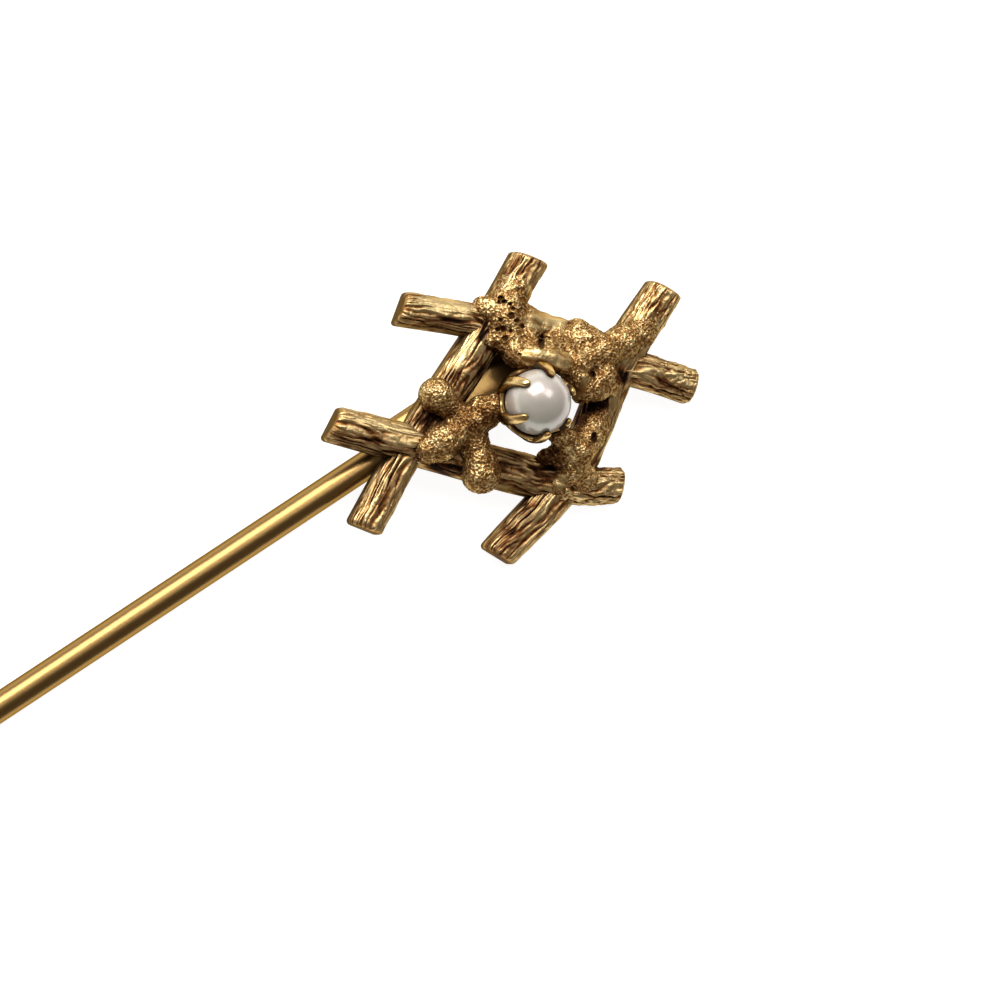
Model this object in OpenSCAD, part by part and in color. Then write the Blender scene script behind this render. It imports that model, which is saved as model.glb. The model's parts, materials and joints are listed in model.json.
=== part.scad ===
// Stick pin: four crossed twigs with knots at their crossings, a claw cup with a pearl, and a stem.
// It lies on its back. X runs along the stem with the point at -X, Z is up, and Z = 0 is the table.

/* [Twigs] */
// Length of a twig
twig_len = 12.5; // [11:0.1:14]
// Width of a twig across its flat back
twig_w = 1.36; // [1.1:0.02:1.7]
// Height of a twig from its flat back to its crest
twig_h = 0.92; // [0.7:0.02:1.2]
// Height of the bark ridges
bark_h = 0.06; // [0.03:0.01:0.1]
// Number of bark ridges over a twig
bark_ridges = 5; // [3:1:6]

/* [Knots] */
// Thickness of a knot's main lobe
knot_d = 1.5; // [1.2:0.05:1.8]

/* [Cup and pearl] */
// Diameter of the pearl
pearl_d = 2.54; // [2.2:0.02:3]
// Height of the pearl's centre over the backs of the twigs
pearl_z = 2.3; // [2.1:0.05:2.7]
// Gap between the pearl and the cup
pearl_gap = 0.07; // [0.04:0.01:0.12]
// Wall of the cup
cup_wall = 0.2; // [0.15:0.01:0.3]
// Width of a claw at its root
claw_w = 1.0; // [0.7:0.05:1.1]
// Thickness of a claw
claw_t = 0.16; // [0.1:0.01:0.2]
// Number of claws
claw_count = 6; // [5:1:7]

/* [Stem] */
// Diameter of the stem
stem_d = 1.1; // [0.8:0.05:1.3]
// Length of the stem from the middle of the head to its point
stem_len = 55; // [40:1:90]
// Length of the tapered point
point_len = 8; // [4:0.5:12]
// Diameter of the blunt tip of the point
tip_d = 0.12; // [0.05:0.01:0.3]
// Width of the flattened end that is soldered behind the head
pad_w = 1.4; // [1.2:0.05:1.8]
// Thickness of the flattened end
pad_t = 0.8; // [0.6:0.05:1]
// Length over which the round stem turns into the flattened end
pad_blend = 1; // [0.5:0.1:1.5]
// Diameter of the stem where it meets the flattened end
root_d = 1.09; // [0.7:0.01:1.1]
// Distance of the stem's axis from the middle of the head
stem_offset = 1.02; // [0.8:0.02:1.2]
// Angle of the stem on the head
stem_angle = 31.7; // [25:0.1:40]

/* [Hidden] */

// The tables are in the head's frame, seen from the front: x to the right, y up, z = 0 at the flat backs.
// The twigs' centre lines. Columns: x and y in twig lengths, width in twig widths, crest in twig heights,
// and the turn of the section in degrees, which slants a cut end
TWIG_UPPER = [
    [-0.395, 0.277, 1.00, 1.00, 0],
    [-0.133, 0.237, 0.98, 0.94, 0],
    [0.133, 0.160, 1.06, 0.96, 0],
    [0.432, 0.086, 1.02, 1.00, 0],
    [0.567, 0.040, 1.02, 1.00, 0]
];
TWIG_LOWER = [
    [-0.627, -0.074, 1.08, 1.04, 0],
    [-0.332, -0.145, 1.12, 1.10, 0],
    [0, -0.226, 1.20, 1.02, 0],
    [0.183, -0.262, 1.10, 1.04, 0],
    [0.335, -0.264, 1.04, 0.96, -10]
];
TWIG_LEFT = [
    [0.033, 0.443, 1.02, 1.02, 0],
    [-0.066, 0.277, 1.02, 1.10, 0],
    [-0.368, -0.154, 0.98, 0.94, 0],
    [-0.518, -0.398, 1.04, 1.00, 10]
];
TWIG_RIGHT = [
    [0.478, 0.348, 0.98, 1.00, 0],
    [0.340, 0.130, 1.14, 1.04, 0],
    [0.178, -0.215, 1.14, 0.92, 0],
    [-0.076, -0.482, 1.06, 1.00, 14]
];
TWIGS = [TWIG_UPPER, TWIG_LOWER, TWIG_LEFT, TWIG_RIGHT];
STATIONS = 18;
ARC_STEPS = 16;
SLOPE_STEP = 0.01;
// A twig's section is fuller than half an ellipse: these powers square its sides and its crest
SIDE_POWER = 0.75;
CREST_POWER = 0.7;

// The knots, each a list of arms, and each arm a chain of balls.
// Columns: x and y in twig lengths, height in twig heights, diameter in knot thicknesses
KNOT_UPPER_LEFT = [
    [[-0.160, 0.286, 0.80, 0.46], [-0.070, 0.226, 0.76, 1.20], [-0.040, 0.300, 0.60, 0.86]],
    [[-0.070, 0.226, 0.76, 1.20], [-0.034, 0.170, 1.00, 1.06], [-0.020, 0.116, 1.26, 0.80]],
    [[-0.112, 0.180, 0.85, 0.66], [-0.034, 0.170, 1.00, 1.06], [0.026, 0.190, 0.75, 0.84]]
];
KNOT_UPPER_RIGHT = [
    [[0.400, 0.246, 0.70, 0.86], [0.340, 0.190, 1.00, 1.06], [0.210, 0.140, 1.10, 1.24]],
    [[0.210, 0.140, 1.10, 1.24], [0.144, 0.200, 1.14, 0.84], [0.097, 0.120, 1.26, 0.96]],
    [[0.210, 0.140, 1.10, 1.24], [0.230, 0.042, 0.95, 0.88], [0.150, 0.072, 1.14, 0.84]]
];
KNOT_LOWER_LEFT = [
    [[-0.305, 0.006, 1.05, 0.86], [-0.200, -0.080, 1.00, 1.16], [-0.116, -0.028, 1.26, 0.94]],
    [[-0.310, -0.138, 1.00, 0.92], [-0.262, -0.123, 1.00, 0.96], [-0.200, -0.080, 1.00, 1.16]],
    [[-0.200, -0.080, 1.00, 1.16], [-0.166, -0.142, 1.00, 1.10], [-0.160, -0.216, 1.05, 1.04]]
];
KNOT_LOWER_RIGHT = [
    [[0.074, -0.172, 1.00, 0.60], [0.150, -0.160, 0.98, 1.16], [0.104, -0.092, 1.26, 0.70]],
    [[0.200, -0.108, 0.90, 0.84], [0.150, -0.160, 0.98, 1.16], [0.078, -0.268, 0.85, 0.80]],
    [[0.150, -0.160, 0.98, 1.16], [0.165, -0.250, 0.75, 1.00], [0.230, -0.236, 0.60, 0.66]]
];
KNOTS = [KNOT_UPPER_LEFT, KNOT_UPPER_RIGHT, KNOT_LOWER_LEFT, KNOT_LOWER_RIGHT];
KNOT_FN = 14;
KNOT_INSET = 0.05;
NECK_SHARE = 0.94;

// The claws are bent over by hand: how far each tip leans round the pearl, and how high it reaches, in degrees
CLAW_LEAN = [-7, -10, -11, 10, 13, 2];
CLAW_REACH = [22, 40, 38, 44, 26, 20];
CLAW_START = 24;
CLAW_STEPS = 6;
CLAW_TAPER = 0.86;
TAPER_POWER = 0.8;
CLAW_EDGE = 0.6;
CLAW_SINK = 16;
CLAW_INSET = 0.4;
CLAW_PROUD = 0.05;
CUP_RIM = -18;
NOTCH = 0.6;
NOTCH_RISE = 3;
CUP_CENTRE = [-0.002, -0.009] * twig_len;
BOWL_FN = 30;
BOWL_STEP = 18;
BOWL_TURN = 4;
BOWL_POLE = -90;

STEM_CLEAR = 0.06;
SOLDER = 0.08;
BLEND_LAP = 0.1;
pearl_r = pearl_d / 2;
cup_in = pearl_r + pearl_gap;
cup_out = cup_in + cup_wall;
stem_z = SOLDER - stem_d / 2;
pad_z = SOLDER - pad_t / 2;
pad_from = -0.43 * twig_len;
pad_to = 0.232 * twig_len;
root_from = pad_from - pad_blend;
head_h = pearl_z + (cup_in + claw_t) * sin(max(CLAW_REACH));

function unit(v) = v / norm(v);
function turned(v, a) = [v[0] * cos(a) - v[1] * sin(a), v[0] * sin(a) + v[1] * cos(a)];

// A smooth curve through a table's rows, at share t of its length
function row_at(rows, t) =
    let (
        n = len(rows) - 1,
        k = min(floor(t * n), n - 1),
        f = t * n - k,
        p1 = rows[k],
        p2 = rows[k + 1],
        p0 = k > 0 ? rows[k - 1] : 2 * p1 - p2,
        p3 = k + 2 <= n ? rows[k + 2] : 2 * p2 - p1
    )
    0.5 * (2 * p1 + (p2 - p0) * f + (2 * p0 - 5 * p1 + 4 * p2 - p3) * f * f
        + (3 * p1 - p0 - 3 * p2 + p3) * f * f * f);

function spot(rows, t) = let (row = row_at(rows, t)) [row[0], row[1]] * twig_len;
function heading(rows, t) = unit(spot(rows, min(t + SLOPE_STEP, 1)) - spot(rows, max(t - SLOPE_STEP, 0)));

// The direction across a twig's section
function across(rows, t) = turned(heading(rows, t), row_at(rows, t)[4] - 90);

// Height of the bark at share t of the length and share a of the way over a twig
function bark(t, a, seed) =
    bark_h * (0.6 * sin(360 * (bark_ridges * a + 0.3 * sin(360 * (2 * t + 0.13 * seed)) + 0.31 * seed))
        + 0.4 * sin(360 * (3.3 * t + 1.7 * a + 0.27 * seed)));

// One section of a twig, from one back corner over the crest to the other
function twig_section(rows, t, seed) =
    let (
        row = row_at(rows, t),
        centre = spot(rows, t),
        side = across(rows, t)
    )
    [
        for (i = [0 : ARC_STEPS])
            let (
                a = i / ARC_STEPS,
                b = i == 0 || i == ARC_STEPS ? 0 : bark(t, a, seed),
                out = (twig_w * row[2] / 2 + b) * sign(cos(180 * a)) * pow(abs(cos(180 * a)), SIDE_POWER),
                up = i == ARC_STEPS ? 0 : (twig_h * row[3] + b) * pow(sin(180 * a), CREST_POWER)
            )
            [centre[0] + side[0] * out, centre[1] + side[1] * out, up]
    ];

// The four corners of a twig's flat back
function back_corners(rows) = [
    for (t = [0, 1], s = [-1, 1])
        spot(rows, t) + s * row_at(rows, t)[2] * twig_w / 2 * across(rows, t)
];

// The stem's axis on the head, and the roll about it that brings the outermost twig end to the table
stem_along = [cos(stem_angle), sin(stem_angle)];
stem_across = [-sin(stem_angle), cos(stem_angle)];
corners = [for (rows = TWIGS) each back_corners(rows)];
function touch_roll(reach) =
    asin(stem_d / 2 / norm([reach, stem_z])) + atan2(-stem_z, reach);
reaches = [for (c = corners) stem_offset - c * stem_across];
roll = touch_roll(max(reaches));
far_x = max([for (c = corners) c * stem_along]);

// The stem keeps its full round section up to the first twig end, so that a guard slides right up to it
stem_from = min([for (c = corners) c * stem_along]) - STEM_CLEAR;
low_y = -max(reaches) * cos(roll) + stem_z * sin(roll);
high_y = -min(reaches) * cos(roll) + stem_z * sin(roll);
middle_x = (far_x - stem_len) / 2;
middle_y = (low_y + high_y) / 2;

// Moves the head's frame to the table, lying on its back
module lie() {
    translate([-middle_x, -middle_y, stem_d / 2])
        rotate([roll, 0, 0])
            translate([0, -stem_offset, -stem_z])
                rotate([0, 0, -stem_angle])
                    children();
}

// A closed skin over rings that all have as many points
module skin(rings) {
    n = len(rings[0]);
    last = len(rings) - 1;
    sides = [
        for (k = [0 : last - 1], i = [0 : n - 1])
            let (j = (i + 1) % n)
            [k * n + i, k * n + j, (k + 1) * n + j, (k + 1) * n + i]
    ];
    near_end = [for (i = [n - 1 : -1 : 0]) i];
    far_end = [for (i = [0 : n - 1]) last * n + i];
    polyhedron([for (ring = rings) each ring], concat(sides, [near_end, far_end]), convexity = 4);
}

module twig(rows, seed) {
    color("goldenrod")
        skin([for (k = [0 : STATIONS]) twig_section(rows, k / STATIONS, seed)]);
}

// A ball of a knot, from its row
module ball(row) {
    translate([row[0] * twig_len, row[1] * twig_len, row[2] * twig_h])
        sphere(d = row[3] * knot_d, $fn = KNOT_FN);
}

// The neck between two balls of a knot
module neck(row_a, row_b) {
    a = [row_a[0] * twig_len, row_a[1] * twig_len, row_a[2] * twig_h];
    b = [row_b[0] * twig_len, row_b[1] * twig_len, row_b[2] * twig_h];
    v = b - a;
    translate(a)
        rotate([0, acos(v[2] / norm(v)), atan2(v[1], v[0])])
            cylinder(d1 = row_a[3] * knot_d * NECK_SHARE, d2 = row_b[3] * knot_d * NECK_SHARE,
                h = norm(v), $fn = KNOT_FN);
}

// A knot, cut level with the twigs' flat backs
module knot(arms) {
    color("darkgoldenrod")
        difference() {
            for (arm = arms) {
                for (row = arm)
                    ball(row);
                for (i = [0 : len(arm) - 2])
                    neck(arm[i], arm[i + 1]);
            }
            translate([-twig_len, -twig_len, -2 * knot_d])
                cube([2 * twig_len, 2 * twig_len, 2 * knot_d + KNOT_INSET]);
        }
}

// One section of a claw round the pearl, at elevation e and azimuth az, w wide and from r_in to r_out
function claw_section(az, e, w, r_in, r_out) =
    let (
        half = asin(w / 2 / r_in) / cos(e),
        at = function(a, r) r * [cos(e) * cos(az + a), cos(e) * sin(az + a), sin(e)],
        r_side = r_in + CLAW_EDGE * (r_out - r_in)
    )
    [at(-half, r_in), at(0, r_in), at(half, r_in), at(half, r_side), at(0, r_out), at(-half, r_side)];

module claw(i) {
    az = CLAW_START + 360 / claw_count * i;
    lean = CLAW_LEAN[i % len(CLAW_LEAN)];
    reach = CLAW_REACH[i % len(CLAW_REACH)];
    root = CUP_RIM - CLAW_SINK;
    skin([
        for (k = [0 : CLAW_STEPS])
            let (s = k / CLAW_STEPS)
            claw_section(az + lean * s, root + (reach - root) * s,
                claw_w * (1 - CLAW_TAPER * pow(s, TAPER_POWER)),
                cup_in + CLAW_INSET * cup_wall * (1 - s),
                (cup_out + CLAW_PROUD) * (1 - s) + (cup_in + claw_t) * s)
    ]);
}

// The cup's scalloped bowl round the pearl's lower half, with its claws
module claw_cup() {
    color("gold")
        translate([CUP_CENTRE[0], CUP_CENTRE[1], pearl_z]) {
            difference() {
                rotate([0, 0, BOWL_TURN])
                    rotate_extrude($fn = BOWL_FN)
                        polygon(concat(
                            [for (e = [BOWL_POLE : BOWL_STEP : CUP_RIM]) cup_out * [cos(e), sin(e)]],
                            [for (e = [CUP_RIM : -BOWL_STEP : BOWL_POLE]) cup_in * [cos(e), sin(e)]]
                        ));
                for (i = [0 : claw_count - 1])
                    rotate([0, 90, CLAW_START + 360 / claw_count * (i + 0.5)])
                        translate([-cup_out * sin(CUP_RIM + NOTCH_RISE), 0, 0])
                            cylinder(d = NOTCH * claw_w, h = 2 * cup_out, $fn = 18);
            }
            for (i = [0 : claw_count - 1])
                claw(i);
        }
}

// Moves a piece drawn along X onto the stem's line behind the head
module on_stem_line() {
    rotate([0, 0, stem_angle])
        translate([0, stem_offset, 0])
            children();
}

// The flattened end of the stem, soldered across the backs of two twigs
module stem_pad() {
    rounding = pad_w / 2;
    color("goldenrod")
        on_stem_line() {
            translate([pad_from, -pad_w / 2, pad_z - pad_t / 2])
                cube([pad_to - pad_from - rounding, pad_w, pad_t]);
            translate([pad_to - rounding, 0, pad_z - pad_t / 2])
                cylinder(r = rounding, h = pad_t, $fn = 48);
            hull() {
                translate([root_from, 0, stem_z])
                    rotate([0, 90, 0])
                        cylinder(d = root_d, h = BLEND_LAP, $fn = 32);
                translate([pad_from, -pad_w / 2, pad_z - pad_t / 2])
                    cube([BLEND_LAP, pad_w, pad_t]);
            }
        }
}

// The round wire: its point, its full section, and its root, which runs on into the flattened end
module stem() {
    color("goldenrod")
        on_stem_line()
            translate([0, 0, stem_z])
                rotate([0, 90, 0])
                    rotate_extrude($fn = 64)
                        polygon([
                            [0, -stem_len],
                            [tip_d / 2, -stem_len],
                            [stem_d / 2, -stem_len + point_len],
                            [stem_d / 2, stem_from],
                            [root_d / 2, root_from],
                            [root_d / 4, root_from + BLEND_LAP],
                            [0, root_from + BLEND_LAP]
                        ]);
}

// The cast head with the cup set in it, trued to its full height
module head() {
    resize([0, 0, head_h])
        union() {
            difference() {
                union() {
                    for (i = [0 : len(TWIGS) - 1])
                        twig(TWIGS[i], i);
                    for (arms = KNOTS)
                        knot(arms);
                }
                translate([CUP_CENTRE[0], CUP_CENTRE[1], pearl_z])
                    sphere(r = cup_in + cup_wall / 2, $fn = BOWL_FN);
            }
            claw_cup();
        }
}

module pin_metal() {
    lie() {
        head();
        stem_pad();
        stem();
    }
}

module pearl() {
    color("ghostwhite")
        lie()
            translate([CUP_CENTRE[0], CUP_CENTRE[1], pearl_z])
                sphere(r = pearl_r, $fn = 64);
}

pin_metal();
pearl();
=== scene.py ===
"""Stick pin: crossed bark twigs with stippled knots, a claw cup with a pearl, and a long stem.

The pin lies on its back on a pale table. The head is modelled in its own frame in millimetres, seen
from the front: x to the right, y up, and z = 0 at the flat backs of the twigs. HeadPlace then carries
each piece to the row frame in metres.
"""

import json
import logging
import math
from dataclasses import dataclass
from enum import Enum
from typing import Callable

import bmesh
import bpy
from mathutils import Matrix, Vector, noise
from mathutils.bvhtree import BVHTree


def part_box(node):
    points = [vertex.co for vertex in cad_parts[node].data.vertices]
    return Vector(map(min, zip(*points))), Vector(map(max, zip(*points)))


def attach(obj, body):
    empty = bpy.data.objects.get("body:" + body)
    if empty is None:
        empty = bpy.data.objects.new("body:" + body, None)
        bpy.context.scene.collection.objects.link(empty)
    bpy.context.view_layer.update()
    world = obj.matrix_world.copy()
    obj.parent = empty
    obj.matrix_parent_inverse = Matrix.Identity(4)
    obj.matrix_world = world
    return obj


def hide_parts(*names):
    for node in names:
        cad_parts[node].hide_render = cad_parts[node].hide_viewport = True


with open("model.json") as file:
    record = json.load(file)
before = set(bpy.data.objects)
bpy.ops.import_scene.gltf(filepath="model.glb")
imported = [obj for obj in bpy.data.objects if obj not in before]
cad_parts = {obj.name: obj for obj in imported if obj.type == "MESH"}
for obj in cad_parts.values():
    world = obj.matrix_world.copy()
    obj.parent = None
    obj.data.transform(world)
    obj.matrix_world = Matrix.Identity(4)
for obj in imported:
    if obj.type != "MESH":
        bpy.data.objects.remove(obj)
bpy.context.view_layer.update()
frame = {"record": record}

log = logging.getLogger("stick_pin")

MM = 0.001
SEAM = 1e-6
PATINA_AND_PAINTED_LIGHT = "patina_and_painted_light"
RAYS = 28

# Fixes how the grains are pushed aside, which is drawn by chance
SEED = 5

# Sockets of a colour mix, which go by number
MIX_FIRST = 6
MIX_SECOND = 7
MIX_RESULT = 2

Spot = tuple[Vector, float, float]
Colour = tuple[float, ...]
Stops = list[tuple[float, Colour]]


class Slot(Enum):
    """The record's material slots."""

    METAL = "antique_gold"
    PEARL = "pearl"


class Node(Enum):
    """The solids that the pieces stand for."""

    METAL = "pin_metal"
    PEARL = "pearl"


class Crossing(Enum):
    """Where two twigs cross, and a knot covers them."""

    UPPER_LEFT = "knot_upper_left"
    UPPER_RIGHT = "knot_upper_right"
    LOWER_LEFT = "knot_lower_left"
    LOWER_RIGHT = "knot_lower_right"


def smooth_step(low: float, high: float, value: float) -> float:
    """Rises smoothly from 0 at low to 1 at high.

    Args:
        low: Where the rise starts.
        high: Where the rise ends.
        value: The place to read.

    Returns:
        A share from 0 to 1.
    """
    share = min(max((value - low) / (high - low), 0.0), 1.0)
    return share * share * (3.0 - 2.0 * share)


def lerp(start: float, end: float, share: float) -> float:
    """The value at a share of the way from start to end."""
    return start + (end - start) * share


@dataclass(frozen=True)
class HeadPlace:
    """Where the head lies: turned on the stem's line, and rolled about it until it rests on the table.

    Attributes:
        stem_angle: Angle of the stem on the head, in degrees.
        stem_offset: Distance of the stem's axis from the middle of the head.
        stem_z: Height of the stem's axis over the backs of the twigs.
        pearl_spot: The pearl's centre in the head's frame.
    """

    stem_angle: float = 31.7
    stem_offset: float = 1.02
    stem_z: float = -0.47
    pearl_spot: tuple[float, float, float] = (-0.025, -0.1125, 2.3)

    def matrix(self) -> Matrix:
        """The turn and shift from the head's frame in millimetres to the row frame in metres.

        Returns:
            The matrix, worked out from the frame's stem mount and the pearl's box.
        """
        axis_y, axis_z = [value / MM for value in frame["record"]["mounts"][0]["pos_m"][1:]]
        low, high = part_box(Node.PEARL.value)
        pearl = (low + high) / 2 / MM
        turn = Matrix.Rotation(-math.radians(self.stem_angle), 4, "Z")
        on_line = turn @ Vector(self.pearl_spot) - Vector((0, self.stem_offset, self.stem_z))
        lies = math.atan2(pearl.z - axis_z, pearl.y - axis_y)
        roll = lies - math.atan2(on_line.z, on_line.y)
        return (
            Matrix.Scale(MM, 4)
            @ Matrix.Translation((pearl.x - on_line.x, axis_y, axis_z))
            @ Matrix.Rotation(roll, 4, "X")
            @ Matrix.Translation((0, -self.stem_offset, -self.stem_z))
            @ turn
        )


PLACE = HeadPlace()


@dataclass(frozen=True)
class View:
    """The viewer's turn about the head's y axis, which places what is measured.

    Attributes:
        tilt: The turn in degrees.
    """

    tilt: float = 22.0

    def right(self) -> Vector:
        """The viewer's right in the head's frame."""
        return Vector((math.cos(math.radians(self.tilt)), 0, math.sin(math.radians(self.tilt))))

    def toward(self) -> Vector:
        """The way from the head to the viewer."""
        return Vector((-math.sin(math.radians(self.tilt)), 0, math.cos(math.radians(self.tilt))))

    def seen_at(self, place: Vector) -> tuple[float, float]:
        """Where the viewer sees a place, to the right and up, in millimetres."""
        return place.dot(self.right()), place.y

    def place(self, right: float, up: float, z: float) -> Vector:
        """The place that the viewer sees at right and up.

        Args:
            right: Distance to the right of the middle of the head.
            up: Distance up from the middle of the head.
            z: Its height over the backs of the twigs.

        Returns:
            The place in the head's frame.
        """
        side = self.right()
        return Vector(((right - z * side.z) / side.x, up, z))


VIEW = View()


@dataclass(frozen=True)
class LightAndWearPatch:
    """An area lightened when its amount is above 0 and darkened when below, placed as the viewer sees it, in
    millimetres.
    Most paint light and shade: painted highlights on lit sides, and painted shade on shaded sides, in
    crevices and in dark gaps. The bright ones also flatten a twig's bark, as rubbing does.

    Attributes:
        right: Distance to the right of the middle of the head.
        up: Distance up from the middle of the head.
        wide: Half its width.
        high: Half its height.
        turn: Its turn in degrees.
        amount: From about -1, black with painted shade, to about 1, a painted highlight on rubbed metal.
        full_to: Share of its reach with the full amount.
        gone_at: Share of its reach where it has faded to nothing.
    """

    right: float
    up: float
    wide: float
    high: float
    turn: float
    amount: float
    full_to: float = 0.4
    gone_at: float = 1.35

    def at(self, right: float, up: float) -> float:
        """How much the patch lightens (above 0) or darkens (below 0) a place that the viewer sees.

        Args:
            right: Distance to the right of the middle of the head.
            up: Distance up from the middle of the head.

        Returns:
            The amount, faded to 0 past the rim.
        """
        cos, sin = math.cos(math.radians(self.turn)), math.sin(math.radians(self.turn))
        x, y = right - self.right, up - self.up
        far = math.hypot((x * cos + y * sin) / self.wide, (y * cos - x * sin) / self.high)
        return self.amount * (1 - smooth_step(self.full_to, self.gone_at, far))


# Patches on the twigs and the knots, mostly painted highlights on lit upper sides and painted shade on lower
# sides, in crevices and in dark gaps; the bright ones also flatten the twigs' bark, as rubbing does
PAINTED_LIGHT_AND_WEAR = (
    LightAndWearPatch(-2.65, 3.58, 1.05, 0.26, -8, 1.4),
    LightAndWearPatch(-2.55, 2.90, 1.40, 0.30, -8, -0.5),
    LightAndWearPatch(-1.95, 2.00, 1.10, 0.26, 57, 0.8),
    LightAndWearPatch(-1.50, 1.10, 1.20, 0.32, 57, -0.8),
    LightAndWearPatch(-2.40, 0.90, 0.40, 0.28, 57, -0.8),
    LightAndWearPatch(-5.25, -0.95, 1.50, 0.16, -15, 0.7),
    LightAndWearPatch(-5.40, -1.75, 1.60, 0.35, -15, -0.5),
    LightAndWearPatch(-4.80, -3.50, 0.90, 0.30, 57, -0.4),
    LightAndWearPatch(0.15, -2.70, 1.50, 0.60, -15, -0.5),
    LightAndWearPatch(-1.45, -0.70, 0.90, 0.60, 0, -0.45),
    LightAndWearPatch(1.30, -2.20, 0.50, 0.55, 0, -0.8),
    LightAndWearPatch(2.25, -1.90, 0.45, 0.32, 0, 0.6),
    LightAndWearPatch(0.00, -5.05, 1.50, 0.50, 52, -0.6),
    LightAndWearPatch(0.80, -4.60, 1.30, 0.12, 52, 0.6),
    LightAndWearPatch(3.05, -0.30, 0.75, 0.28, 10, -1.0),
    LightAndWearPatch(2.55, -0.65, 0.32, 0.55, -25, -1.1),
    LightAndWearPatch(4.10, 0.90, 0.30, 0.32, 0, -1.0),
    LightAndWearPatch(-3.45, -0.70, 0.50, 0.36, 30, -0.8),
    LightAndWearPatch(-2.70, -2.70, 0.80, 0.22, -15, -0.8),
    LightAndWearPatch(-1.30, 2.65, 0.12, 0.60, -25, -0.8),
    LightAndWearPatch(6.00, 0.55, 0.90, 0.40, -20, -0.35),
    LightAndWearPatch(2.30, 2.60, 0.40, 0.30, 0, 0.4),
    LightAndWearPatch(-2.90, -1.60, 0.40, 0.30, 0, 0.4),
    LightAndWearPatch(-3.05, 0.25, 0.60, 0.50, 0, 0.6),
    LightAndWearPatch(-1.10, 3.55, 0.40, 0.25, 0, 0.8),
    LightAndWearPatch(-1.40, -2.60, 0.45, 0.50, 0, 0.3),
    LightAndWearPatch(-2.60, 3.05, 0.90, 0.10, -8, -0.5),
    LightAndWearPatch(-1.32, 2.98, 0.42, 0.09, -35, -1.3),
    LightAndWearPatch(-1.16, 2.52, 0.28, 0.09, 56, -1.3),
    LightAndWearPatch(-1.20, 2.18, 0.20, 0.09, -60, -1.3),
    LightAndWearPatch(-0.74, 1.84, 0.50, 0.09, -25, -1.3),
    LightAndWearPatch(3.65, -3.25, 0.70, 0.35, -5, 0.35),
    LightAndWearPatch(6.00, 0.95, 1.10, 0.20, -20, 0.5),
)

# Painted shade on the undersides of the claws, and painted highlights on the cup's left wall and at its
# bottom
CUP_PAINTED_LIGHT = (
    LightAndWearPatch(0.10, 0.38, 0.50, 0.09, 4, -1.0),
    LightAndWearPatch(0.15, -0.76, 0.40, 0.09, -4, -1.0),
    LightAndWearPatch(0.85, -1.34, 0.40, 0.07, 5, -0.9),
    LightAndWearPatch(1.22, 1.02, 0.30, 0.15, -45, -1.0),
    LightAndWearPatch(-0.52, -0.05, 0.14, 0.50, 0, 0.9),
    LightAndWearPatch(0.80, -1.50, 0.50, 0.10, 5, 0.5),
)

# Painted light on the flattened end of the stem, where it shows between the twigs and the cup in the knot's
# shade: painted highlights at its top and bottom, painted shade between them
PAD_PAINTED_LIGHT = (
    LightAndWearPatch(-0.70, 1.50, 0.50, 0.25, 57, 0.6),
    LightAndWearPatch(-1.05, 1.00, 0.35, 0.25, 57, -0.2),
    LightAndWearPatch(-1.45, 0.25, 0.55, 0.30, 57, 0.7),
)


@dataclass(frozen=True)
class Row:
    """One row of a twig's table.

    Attributes:
        x: Place across the head, in twig lengths.
        y: Place up the head, in twig lengths.
        width: Width in twig widths.
        crest: Height in twig heights.
        turn: Turn of the section in degrees, which slants a cut end.
    """

    x: float
    y: float
    width: float
    crest: float
    turn: float = 0.0

    def blended(self, before: "Row", after: "Row", later: "Row", share: float) -> "Row":
        """A Catmull-Rom blend between this row and the next.

        Args:
            before: The row before this one.
            after: The next row.
            later: The row after the next.
            share: Share of the way to the next row.

        Returns:
            The blended row.
        """

        def curve(a: float, b: float, c: float, d: float) -> float:
            """The curve between b and c.

            Args:
                a: The value before b.
                b: The value at the share 0.
                c: The value at the share 1.
                d: The value after c.

            Returns:
                The value at the share.
            """
            return 0.5 * (
                2 * b
                + (c - a) * share
                + (2 * a - 5 * b + 4 * c - d) * share**2
                + (3 * b - a - 3 * c + d) * share**3
            )

        names = ("x", "y", "width", "crest", "turn")
        rows = (before, self, after, later)
        return Row(*(curve(*(getattr(row, name) for row in rows)) for name in names))

    def beyond(self, other: "Row") -> "Row":
        """Carries the table on past its end.

        Args:
            other: The row on the other side of this one.

        Returns:
            The row that mirrors it through this one.
        """
        return Row(
            2 * self.x - other.x,
            2 * self.y - other.y,
            2 * self.width - other.width,
            2 * self.crest - other.crest,
            2 * self.turn - other.turn,
        )


@dataclass
class Bench:
    """Builds meshes in the head's frame, and keeps each vertex's patina attribute.

    The patina attribute holds the relief (1 on a ridge, 0 in a groove), the open share of the sky, the
    share of hand-worked grain, and how far the side has gone grey, as tarnished metal and painted shade.
    The patches of painted highlight and painted shade are written into its relief and sky.
    """

    def grid(self, rings: int, around: int, spot: Callable[[int, int], Spot]) -> bmesh.types.BMesh:
        """A closed tube laid out from a flat grid.

        Args:
            rings: Number of rings along the tube, with those that close its ends.
            around: Number of steps round the tube.
            spot: Gives the place, relief and grain at a ring and a step.

        Returns:
            The closed mesh.
        """
        bm = bmesh.new()
        bmesh.ops.create_grid(bm, x_segments=rings - 1, y_segments=around, size=1.0)
        patina_and_painted_light = bm.verts.layers.float_color.new(PATINA_AND_PAINTED_LIGHT)
        for vert in bm.verts:
            ring = round((vert.co.x + 1) / 2 * (rings - 1))
            step = round((vert.co.y + 1) / 2 * around)
            place, relief, grain = spot(ring, step % around)
            vert.co = place
            vert[patina_and_painted_light] = (relief, 1.0, grain, 1.0)
        bmesh.ops.remove_doubles(bm, verts=bm.verts, dist=SEAM)
        bmesh.ops.recalc_face_normals(bm, faces=bm.faces)
        return bm


BENCH = Bench()


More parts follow.
